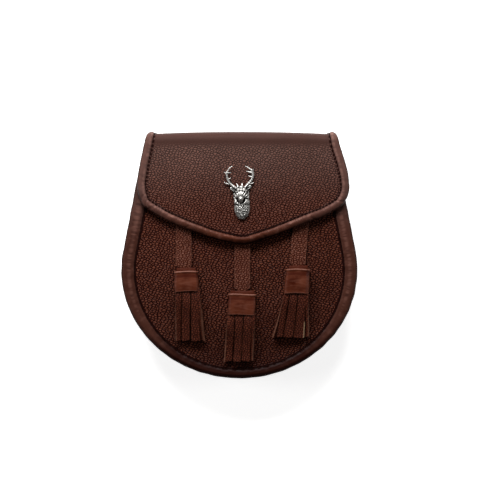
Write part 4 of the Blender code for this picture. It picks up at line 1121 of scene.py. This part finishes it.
def capPiece(table, phase):  # a band wrapped once round the head, its top edge rolled over
    length = table["capTop"][1] - table["capLow"][1]
    # millimetres down from the top edge, millimetres outwards
    outer = [(0.35, -0.75), (-0.05, -0.40), (0.10, 0.22), (0.75, 0.50), (1.60, 0.20), (3.0, -0.10), (5.2, 0.06)]
    outer += [(length * 1000 * f, o) for f, o in ((0.50, 0.30), (0.66, 0.34), (0.82, 0.20), (0.92, 0.06))]
    outer += [(length * 1000 - 0.25, -0.02), (length * 1000, -0.35)]
    inner = [(down, -tassel["capWall"]) for down in (length, length * 0.5, 0.0008)]
    wall = body["gap"] + tassel["capWall"]
    low, high = headLow - wall, headHigh + wall
    normals = ovalRing(0.01, low, high, tassel["capCorner"])
    normals = unit(np.roll(normals, -1, 0) - np.roll(normals, 1, 0)) @ np.array([[0, -1], [1, 0]])
    rings, lay = [], []
    for down, push in np.vstack([rounded(np.array(outer) * 0.001, 3), inner]):
        x, _, width = headSpot(table, np.clip(down / length, 0, 1))
        ring = ovalRing(width / 2, low, high, tassel["capCorner"])
        at = ring[:, 0] / (width / 2)
        lifted = np.full(len(ring), push)
        if push > -0.0011:  # the outside steps down past the overlap
            lifted -= 0.00038 * ((ring[:, 1] > 0.004) & (at > table["lap"]))
        if push > -0.0003:
            lifted += 0.00008 * waves(ring[:, 0], np.full(len(ring), down), 0.008, 51)
        ring = ring + normals * lifted[:, None]
        ring[:, 1] = np.maximum(ring[:, 1], low)
        drop = 0.00035 * np.sin(at * 2.2 + phase) + down
        rings.append(headPlane(table, x + ring[:, 0], table["capTop"][1] - drop, ring[:, 1]))
        wornAndPaintedLight = bell(down, 0.0007, 0.0006) - 0.85 * bell(down, 0.0044, 0.0016)  # rubbed edge with a painted highlight, and painted shade in the hollow below it
        wornAndPaintedLight = wornAndPaintedLight + 0.5 * bell(down, length - 0.0005, 0.0005)
        # Painted highlight on the belly.
        wornAndPaintedLight = wornAndPaintedLight + 0.30 * bell(down, 0.0100, 0.0030) * bell(at, 0.1, 0.55)
        wornAndPaintedLight = wornAndPaintedLight - 0.5 * bell(at, table["lap"], 0.03) * (ring[:, 1] > 0.004)
        lay.append(np.column_stack([ring[:, 0], np.full(len(ring), down), wornAndPaintedLight]))
    return sweep(rings, lay, loop=True, sharp=60)


def headTube(table):  # the rolled top of the fringe: shown as a lip above the cap
    wall = tassel["capWall"] + body["gap"]
    lip = tassel["lip"]
    # metres above the head's top, share of its length below it, share of the width, how far the top is sunk
    levels = ((lip, 0, 0.86, 0.75), (lip * 0.98, 0, 0.93, 0.35), (0.0022, 0, 0.965, 0.12), (0.0012, 0, 0.99, 0.02),
              (0.0, 0, 1.0, 0.0), (0.0, 0.5, 1.0, 0.0), (0.0, 1.0, 1.0, 0.0))
    rings = []
    for lift, along, wide, sink in levels:
        x, y, width = headSpot(table, along)
        half = (width / 2 - wall) * wide
        tuck = 0.0009 * sink
        ring = ovalRing(half, headLow + tuck, headHigh - tuck * 1.6, tassel["capCorner"] - wall * 0.8, 7)
        dip = 0.0009 * (1 - np.abs(ring[:, 0] / half) ** 2) * (lift / lip)
        rings.append(headPlane(table, x + ring[:, 0], y + lift - dip, ring[:, 1]))
    return np.array(rings)


def stripPiece(table, strip):  # one front strip, with its lay, its cut edges and the flesh that shows
    leftTop, rightTop, leftTip, rightTip, twist, drop, pale = strip
    capY, tipY = table["capLow"][1], table["tip"][2] - drop
    thick = tassel["stripLeather"]
    seed = int(abs(leftTip) * 1e5)
    rings, cut, lay = [], [], []
    for s in np.concatenate([[-0.10], np.linspace(0.0, 0.97, tassel["stripRows"]), [0.99, 1.0]]):
        down = max(s, 0.0)
        turn = math.radians(twist) * smooth(down * 1.25)
        left, right = mix(leftTop, leftTip, down), mix(rightTop, rightTip, down)
        real = max((right - left - thick * abs(math.sin(turn))) / max(math.cos(turn), 0.25), thick * 1.2)
        ending = 1.0 if s < 0.98 else (0.97 if s < 1 else 0.90)
        ring = slabSection(real * ending, thick * ending, tassel["corner"], 0.00018)
        x = (left + right) / 2 + ring[:, 0] * math.cos(turn) - ring[:, 1] * math.sin(turn)
        z = ring[:, 0] * math.sin(turn) + ring[:, 1] * math.cos(turn)
        bend = 0.0005 * math.sin(down * 3.0 + seed) * down
        sway = 0.0004 * math.sin(down * 4.2 + seed * 0.7) * down
        high = mix(headHigh, tassel["tipHeight"], smooth(down)) - thick / 2
        stand = max(abs(real * math.sin(turn)) / 2 - thick / 2, 0.0)  # what a twisted strip needs below its middle
        height = max(high + bend, tassel["clear"] + thick * 1.1 + stand) + stand * 0.3
        y = np.full(len(ring), mix(capY, tipY, s)) + (ring[:, 0] * 0.05 * math.sin(seed) if s > 0.95 else 0.0)
        spot = (x + sway, y, height + z)
        rings.append(mix(headPlane(table, *spot), onFace(*spot), smooth(down * 2)))
        cut.append(np.maximum(edgeWear(ring, real * ending, 0.88, 0.10), s >= 1.0))
        lay.append(np.column_stack([leftTip + ring[:, 0], y, ring[:, 1]]))
    flesh = np.zeros((len(rings), len(ring)))
    if pale:  # the pale flesh side shows along one edge, low down
        flesh[:, 1:8] = smooth((np.linspace(0, 1, len(rings)) - 0.60) / 0.05)[:, None]
    elif abs(twist) > 30:
        flesh[:, slice(2, 6) if twist > 0 else slice(17, 21)] = 0.30
    return np.array(rings), np.array(lay), np.array(cut), flesh


def backStrip(table, i):
    middle, width = table["capLow"][0], table["capWidth"][1] - 0.004
    tipLeft, tipRight, tipY = table["tip"]
    shares = np.array([i, i + 1]) / tassel["backStrips"]
    gaps = np.array([0.0003, -0.0003])
    tops = middle + (shares - 0.5) * width + gaps
    tips = mix(tipLeft + 0.0008, tipRight - 0.0008, shares) + gaps
    thick = tassel["stripLeather"]
    rings, cut = [], []
    for s in np.linspace(-0.1, 0.985, 16):
        down = max(s, 0.0)
        left, right = mix(tops, tips, down)
        ring = slabSection(right - left, thick, tassel["corner"])
        low = mix(headLow, tassel["clear"], smooth(down * 2)) + thick / 2
        y = np.full(len(ring), mix(table["capLow"][1], tipY, s))
        spot = ((left + right) / 2 + ring[:, 0], y, low + ring[:, 1])
        rings.append(mix(headPlane(table, *spot), onFace(*spot), smooth(down * 2)))
        cut.append(edgeWear(ring, right - left, 0.88, 0.10))
    return np.array(rings), np.array(rings), np.array(cut), np.zeros(np.shape(cut))


def fringePiece(table):  # the head, the front strips and the back strips in one mesh
    head = headTube(table)
    none = np.zeros(head.shape[:2])
    parts = [(head, head, none, none)]
    parts += [stripPiece(table, strip) for strip in table["strips"]]
    parts += [backStrip(table, i) for i in range(tassel["backStrips"])]
    faces, start = [], 0
    for rings, *_ in parts:
        rows, columns = rings.shape[:2]
        made = closeFaces(rows, columns, False, True) + endFaces(rows, columns)
        faces += [tuple(i + start for i in face) for face in made]
        start += rows * columns
    points, lay = (np.vstack([part[i].reshape(-1, 3) for part in parts]) for i in (0, 1))
    cut, flesh = (np.concatenate([part[i].ravel() for part in parts]) for i in (2, 3))
    isHead = np.arange(start) < none.size
    return finishMesh(points, faces, {"head": isHead, "cut": cut, "flesh": flesh, "lay": lay}, 45)


for side, table in tasselTables.items():
    putInPlace("strapLeather_" + side, strapPiece(table), finishes["strapGrain"],
               ["tassel_strap_" + side])
    putInPlace("capLeather_" + side, capPiece(table, len(side)), finishes["cap"],
               ["tassel_cap_" + side])
    putInPlace("fringeLeather_" + side, fringePiece(table), finishes["fringe"],
               ["tassel_fringe_" + side])
print("tassels made")


# Hanging loops on the back

loop = {
    "x": 0.0380, "width": 0.0200, "topY": 0.0700, "foot": 0.0070, "ramp": 0.0050, "opening": 0.0260,
    "underside": 0.0003, "clear": 0.0002, "corner": 0.0004, "stitchIn": 0.0016, "stitchEnd": 0.0014,
    "stitch": {"Pitch": 0.0028, "Length": 0.0021, "Thread": 0.00055, "Arch": 0.00006},
}


def loopPiece(x):
    leather = body["leather"]
    back = float(backHeight(np.array([x]), np.array([loop["topY"] - 0.02]))[0])
    footZ = back - leather - body["gap"] - loop["clear"] - leather / 2
    flatZ = loop["underside"] + leather / 2
    steps = (loop["foot"], loop["ramp"], loop["opening"], loop["ramp"], loop["foot"])
    ys = [loop["topY"] - sum(steps[:i]) for i in range(6)]
    zs = (footZ, footZ, flatZ, flatZ, footZ, footZ)
    dense = np.linspace(ys[0], ys[-1], 70)
    level = np.interp(dense, ys[::-1], zs[::-1])
    level[2:-2] = np.convolve(level, np.ones(5) / 5, "valid")
    slopes = np.gradient(level, dense)
    rings, lay = [], []
    for i, y in enumerate(dense):
        ending = 0.93 if i in (0, len(dense) - 1) else 1.0
        ring = slabSection(loop["width"] * ending, leather, loop["corner"], count=11)
        rings.append(np.column_stack([x + ring[:, 0], y - ring[:, 1] * slopes[i] * 0.6, level[i] + ring[:, 1]]))
        wornAndPaintedLight = edgeWear(ring, loop["width"], 0.88, 0.12)
        lay.append(np.column_stack([ring[:, 0], np.full(len(ring), y), wornAndPaintedLight]))
    rows = []
    half = loop["width"] / 2 - loop["stitchIn"]
    for low, high in ((ys[5], ys[4]), (ys[1], ys[0])):  # a stitched box on each foot
        a, b = low + loop["stitchEnd"], high - loop["stitchEnd"]
        corners = [(-half, a), (half, a), (half, b), (-half, b), (-half, a)]
        for (x0, y0), (x1, y1) in zip(corners, corners[1:]):
            run = [(x + mix(x0, x1, t), mix(y0, y1, t), footZ - leather / 2 - 0.00002) for t in np.linspace(0, 1, 12)]
            rows.append(stitchRow(run, [(0, 0, -1)] * 12, **loop["stitch"]))
    return sweep(rings, lay), rows


loopRows = []
for side, x in (("left", -loop["x"]), ("right", loop["x"])):
    mesh, rows = loopPiece(x)
    putInPlace("loopLeather_" + side, mesh, finishes["strapGrain"], ["hanging_loop_" + side])
    loopRows += rows
putInPlace("loopStitches", joinMeshes(loopRows), finishes["thread"])
print("hanging loops made")


# Cast stag's head

stag = {
    "voxel": 0.00022, "hair": 0.00044, "faceHair": 0.00020, "earHollow": 0.0006, "mouthHollow": 0.0011,
    "seed": 3, "brow": 0.00075, "browLines": ((-6.3, -1.8, -2.9, -4.2), (6.0, -1.6, 2.5, -4.2)),
    "ears": ((-7.0, 3.9, 140), (6.4, 5.6, 40)),  # middle and turn of their hollows
    # ellipsoids in millimetres from the badge's middle: centre, radii, turn about z in degrees
    "forms": (
        ((0.9, -11.6, 0.6), (6.8, 10.1, 3.7), 0), ((0.7, -6.6, 1.6), (6.9, 4.4, 2.9), 0),
        ((0.4, 2.6, 2.2), (5.4, 4.3, 3.5), 0), ((0.0, -0.6, 3.5), (4.3, 4.4, 3.3), 0),
        ((-0.2, -4.0, 5.1), (2.35, 2.25, 2.5), 0), ((-0.3, -6.1, 4.7), (1.7, 1.6, 1.7), 0),
        ((-2.9, 2.5, 4.7), (1.8, 0.75, 0.9), 25), ((3.3, 2.9, 4.7), (1.8, 0.75, 0.9), -25),
        ((-3.3, 0.9, 4.6), (0.85, 0.65, 0.8), 20), ((3.6, 1.2, 4.6), (0.85, 0.65, 0.8), -20),
        ((-3.7, -1.6, 2.9), (1.7, 2.6, 1.8), 12), ((3.9, -1.2, 2.9), (1.7, 2.6, 1.8), -12),
        ((-7.0, 3.9, 1.9), (3.1, 1.35, 1.0), 140), ((6.4, 5.6, 1.9), (3.0, 1.35, 1.0), 40),
        ((0.2, 5.6, 3.2), (2.6, 1.8, 1.8), 0), ((0.5, 1.2, 1.4), (6.6, 4.6, 2.6), 0),
        ((-4.5, -2.2, 1.2), (2.1, 4.6, 2.0), 8), ((5.1, -1.4, 1.2), (2.1, 5.2, 2.0), -2),
    ),
    # bars in millimetres: thick end, thin end, points
    "bars": (
        (1.35, 0.95, ((-3.4, 4.2, 2.4), (-7.6, 7.5, 1.7), (-10.5, 10.7, 1.5), (-11.7, 14.2, 1.5), (-12.7, 18.1, 1.5))),
        (1.00, 0.35, ((-12.5, 18.0, 1.5), (-11.5, 19.8, 1.5), (-9.8, 22.3, 1.4), (-7.3, 24.2, 1.2))),
        (0.85, 0.35, ((-8.6, 8.4, 1.6), (-11.6, 8.8, 1.5), (-14.6, 10.2, 1.2))),
        (0.85, 0.30, ((-12.4, 17.8, 1.5), (-13.4, 18.3, 1.4), (-14.5, 18.9, 1.1))),
        (0.80, 0.28, ((-10.9, 12.6, 1.5), (-9.8, 13.4, 1.5), (-8.5, 14.3, 1.2))),
        (1.00, 0.28, ((-12.6, 17.9, 1.5), (-10.8, 18.2, 1.5), (-8.4, 18.5, 1.2))),
        (1.35, 1.00, ((3.0, 4.8, 2.4), (5.2, 7.7, 1.8), (8.1, 11.0, 1.6), (9.8, 14.4, 1.5), (10.2, 17.8, 1.5),
                      (9.3, 20.5, 1.5))),
        (1.05, 0.35, ((9.4, 20.4, 1.5), (7.6, 21.6, 1.5), (5.6, 23.1, 1.4), (3.6, 24.4, 1.2))),
        (0.80, 0.32, ((7.3, 8.6, 1.6), (9.3, 9.2, 1.5), (11.2, 10.3, 1.2))),
        (0.85, 0.32, ((9.5, 19.8, 1.5), (10.2, 20.8, 1.4), (10.7, 21.5, 1.1))),
        (0.85, 0.28, ((9.8, 14.6, 1.5), (8.0, 15.1, 1.5), (6.0, 15.7, 1.2))),
        (1.05, 0.28, ((9.9, 18.3, 1.5), (7.4, 19.0, 1.5), (4.4, 19.8, 1.2))),
        (0.95, 0.28, ((-2.4, 5.8, 3.0), (-3.2, 7.8, 2.4), (-4.0, 9.3, 1.8))),
        (1.05, 0.30, ((1.0, 5.8, 3.0), (1.0, 8.0, 2.4), (0.7, 10.0, 1.8))),
    ),
    # rounds of softening after which the depth below the softened surface is measured, and the depth that counts
    "depths": {7: 0.00012, 39: 0.00035},
}


def barRings(bm, thick, thin, points):
    run = rounded(points, 8)
    angles = np.linspace(0, 2 * math.pi, 12, endpoint=False)
    rings = []
    for i, (point, slope) in enumerate(zip(run, unit(np.gradient(run, axis=0)))):
        side = unit(np.cross(slope, (0, 0, 1)))
        up = np.cross(side, slope)
        size = mix(thick, thin, i / (len(run) - 1)) * (1 + 0.03 * math.sin(i * 1.7))
        rings.append([bm.verts.new(point + size * (math.cos(a) * side + math.sin(a) * up)) for a in angles])
    return rings


def castForms():  # ellipsoids and bars fused into one skin
    bm = bmesh.new()
    for centre, radii, turn in stag["forms"]:
        place = Matrix.Translation(Vector(centre)) @ Matrix.Rotation(math.radians(turn), 4, "Z")
        bmesh.ops.create_uvsphere(bm, u_segments=40, v_segments=24, radius=1.0,
                                  matrix=place @ Matrix.Diagonal((*radii, 1.0)))
    for bar in stag["bars"]:
        rings = barRings(bm, *bar)
        for near, far in zip(rings, rings[1:]):
            for j in range(len(near)):
                k = (j + 1) % len(near)
                bm.faces.new((near[j], near[k], far[k], far[j]))
        bm.faces.new(rings[0][::-1])
        bm.faces.new(rings[-1])
    bmesh.ops.recalc_face_normals(bm, faces=bm.faces)
    bmesh.ops.scale(bm, vec=(0.001,) * 3, verts=bm.verts)
    mesh = bpy.data.meshes.new("castForms")
    bm.to_mesh(mesh)
    bm.free()
    holder = addToScene("castForms", mesh)
    fuse = holder.modifiers.new("fuse", "REMESH")
    fuse.mode, fuse.voxel_size = "VOXEL", stag["voxel"]
    bpy.context.view_layer.update()
    made = bpy.data.meshes.new_from_object(holder.evaluated_get(bpy.context.evaluated_depsgraph_get()))
    bpy.data.objects.remove(holder)
    return made


def nearLine(x, y, x0, y0, x1, y1):  # distance to a short line
    along = ((x - x0) * (x1 - x0) + (y - y0) * (y1 - y0)) / ((x1 - x0) ** 2 + (y1 - y0) ** 2)
    along = min(max(along, 0.0), 1.0)
    return math.hypot(x - mix(x0, x1, along), y - mix(y0, y1, along))


def cheekRecess(x, y):  # plain recess beside the muzzle
    return np.exp(-((x - 3.6) / 1.9) ** 2 - ((y + 7.2) / 2.2) ** 2)


def ripple(x, y, z):
    return noise.noise(Vector((x, y, z)))


def hairPush(x, y):  # millimetres in, metres out
    warp = noise.noise_vector(Vector((x * 0.45, y * 0.45, 3.1)))
    fan = 1.0 + 0.03 * (y + 12)
    spot = Vector(((x * fan + 0.9 * warp.x) / 1.38, (y + 0.9 * warp.y - 0.35 * abs(x)) / 1.80, 0.0))
    near, second = noise.voronoi(spot)[0][:2]
    tuft = min((second - near) / 0.42, 1.0) - 0.60
    neck = smooth((-5.8 - y) / 1.4) * smooth((6.2 - abs(x - 0.8)) / 1.0) * (1.0 - cheekRecess(x, y))
    push = neck * stag["hair"] * (tuft + 0.35 * ripple(x * 2.6, y * 1.3, 1.0))
    face = smooth((y + 5.2) / 1.0) * smooth((7.4 - y) / 1.0) * smooth((6.4 - abs(x - 0.2)) / 1.0)
    nose = smooth((math.hypot(x + 0.2, y + 3.9) - 2.4) / 0.6)
    angle = math.atan2(x + 0.2, y + 5.8)
    ridge = math.cos(angle * 23 + 1.6 * ripple(x * 0.5, y * 0.5, 5.0)) * smooth((abs(angle) - 0.03) / 0.30)
    ridge = (ridge + 0.4 * ripple(x * 1.3, y * 1.3, 2.0)) * smooth((math.hypot(x, y + 5.8) - 1.5) / 4.0)
    push += face * nose * stag["faceHair"] * ridge
    for line in stag["browLines"]:
        push -= stag["brow"] * bell(nearLine(x, y, *line), 0.0, 0.45) * nose
    return push


def earHollow(x, y):
    total = 0.0
    for earX, earY, turn in stag["ears"]:
        a = math.radians(turn)
        along = (x - earX) * math.cos(a) + (y - earY) * math.sin(a)
        off = (y - earY) * math.cos(a) - (x - earX) * math.sin(a)
        total += math.exp(-(along / 2.0) ** 2 - (off / 0.55) ** 2)
    return total


def hollowOf(mesh):  # 0 on what stands out, 1 where the dark patina stays
    count = len(mesh.vertices)
    points, normals = np.empty(count * 3), np.empty(count * 3)
    mesh.vertices.foreach_get("co", points)
    mesh.vertices.foreach_get("normal", normals)
    points, normals = points.reshape(-1, 3), normals.reshape(-1, 3)
    edges = np.empty(len(mesh.edges) * 2, int)
    mesh.edges.foreach_get("vertices", edges)
    edges = edges.reshape(-1, 2)
    degree = np.maximum(np.bincount(edges.ravel(), minlength=count), 1)[:, None]
    hollow = np.zeros(count)
    soft = points.copy()
    for turn in range(max(stag["depths"]) + 1):
        total = np.zeros_like(soft)
        np.add.at(total, edges[:, 0], soft[edges[:, 1]])
        np.add.at(total, edges[:, 1], soft[edges[:, 0]])
        soft = total / degree
        if turn in stag["depths"]:
            hollow += np.sum((soft - points) * normals, axis=1) / stag["depths"][turn]
    x, y, z = points.T * 1000
    hollow = 0.25 + hollow * (0.5 + 0.5 * smooth(-5.5 - y))  # the neck keeps more contrast than the face
    hollow += 0.9 * smooth((1.1 - z) / 0.9) + 0.25 * cheekRecess(x, y)
    # Less patina on the top of the nose ball: polish and painted highlight.
    nose = np.hypot(x + 0.2, y + 4.2) + 3 * (z < 4.5)
    hollow += 0.34 * smooth((9.5 - y) / 2) * smooth((y + 0.5) / 3) - 0.80 * bell(nose, 0.0, 2.5)
    hollow -= 0.07 * smooth((y + 4) / 2) * smooth((6 - y) / 2)
    # Less patina on the antlers and the neck's bottom tip: polish and painted highlight.
    hollow -= 0.06 * smooth((y - 8.5) / 2) + 0.20 * smooth((-13 - y) / 3)
    return np.clip(hollow, 0, 1)


def stagPiece():
    noise.seed_set(stag["seed"])  # noise_vector starts from the clock otherwise
    mesh = castForms()
    bm = bmesh.new()
    bm.from_mesh(mesh)
    bm.normal_update()
    for vert in bm.verts:
        x, y, z = vert.co * 1000
        under = bell(math.hypot(x + 0.2, y + 4.3), 3.2, 0.75) * smooth((-2.4 - y) / 1.5)  # round below the nose
        vert.co += vert.normal * (hairPush(x, y) - stag["earHollow"] * earHollow(x, y) * (z > 1.6))
        vert.co.z -= stag["mouthHollow"] * under * (z > 1.0)
    bmesh.ops.bisect_plane(bm, geom=bm.verts[:] + bm.edges[:] + bm.faces[:], plane_co=(0, 0, 0),
                           plane_no=(0, 0, 1), clear_inner=True)
    bmesh.ops.holes_fill(bm, edges=[edge for edge in bm.edges if edge.is_boundary], sides=0)
    bmesh.ops.recalc_face_normals(bm, faces=bm.faces)
    bm.to_mesh(mesh)
    bm.free()
    addMark(mesh, "hollow", hollowOf(mesh))
    under = frontHeight(np.full(3, badge["x"]), np.array([0.035, 0.052, 0.070])).max()
    baseZ = under + flap["lift"] + body["leather"] / 2 + body["gap"]
    mesh.transform(Matrix.Translation((badge["x"], badge["y"], baseZ)))
    mesh.shade_smooth()
    return mesh


putInPlace("stagHeadCasting", stagPiece(), finishes["pewter"], ["stag_badge"])
print("badge cast")

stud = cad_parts["flap_stud"]
stud.data.materials.clear()
stud.data.materials.append(finishes["steel"])
for polygon in stud.data.polygons:
    polygon.material_index = 0


# Floor, light and camera

studio = {
    "floor": (0.86, 0.855, 0.85), "floorHalf": 6.0, "floorZ": -0.0003, "glow": 0.78,
    "sky": 0.025, "skyColour": (1.0, 0.985, 0.965, 1.0), "target": (0.0, 0.0, 0.02),
    "eye": (0.00916, 0.00434, 2.4), "face": 0.034, "field": 0.430, "sensor": 36.0,
    # place, size, watts
    "lamps": (((-0.11, 0.76, 0.58), (0.8, 0.3), 17.5), ((-1.05, 0.10, 0.70), (0.4, 0.9), 3.2),
              ((1.05, 0.10, 0.70), (0.4, 0.9), 2.6), ((0.0, -1.00, 0.70), (0.9, 0.4), 0.3)),
}


def floorFinish():
    finish, tree, shader = newFinish("paleFloor", Specular_IOR_Level=0.2, Emission_Color=(1.0, 1.0, 1.0, 1.0),
                                     Emission_Strength=studio["glow"])
    cloud = tree.speckle(tree.where(), 3.0)
    darker = tuple(channel * 0.985 for channel in studio["floor"])
    dress(tree, shader, Base_Color=tree.blend(cloud, studio["floor"], darker), Roughness=0.8 + cloud * 0.05)
    return finish


floorMesh = bpy.data.meshes.new("floor")
half, z = studio["floorHalf"], studio["floorZ"]
floorMesh.from_pydata([(-half, -half, z), (half, -half, z), (half, half, z), (-half, half, z)], [], [(0, 1, 2, 3)])
floorMesh.materials.append(floorFinish())
floor = addToScene("floor", floorMesh)

world = bpy.data.worlds.new("softRoom")
world.use_nodes = True
background = world.node_tree.nodes["Background"]
background.inputs["Color"].default_value = studio["skyColour"]
background.inputs["Strength"].default_value = studio["sky"]
bpy.context.scene.world = world

for i, (place, size, watts) in enumerate(studio["lamps"]):
    light = bpy.data.lights.new("softbox%d" % i, "AREA")
    light.shape, light.size, light.size_y, light.energy = "RECTANGLE", *size, watts
    lamp = addToScene(light.name, light)
    lamp.location = place
    lamp.rotation_euler = (Vector(studio["target"]) - Vector(place)).to_track_quat("-Z", "Y").to_euler()

lens = bpy.data.cameras.new("eye")
lens.sensor_width = studio["sensor"]
lens.lens = studio["sensor"] * (studio["eye"][2] - studio["face"]) / studio["field"]
eye = addToScene("eye", lens)
eye.location = studio["eye"]
bpy.context.scene.camera = eye
bpy.context.scene.view_settings.view_transform = "Standard"
print("studio ready")
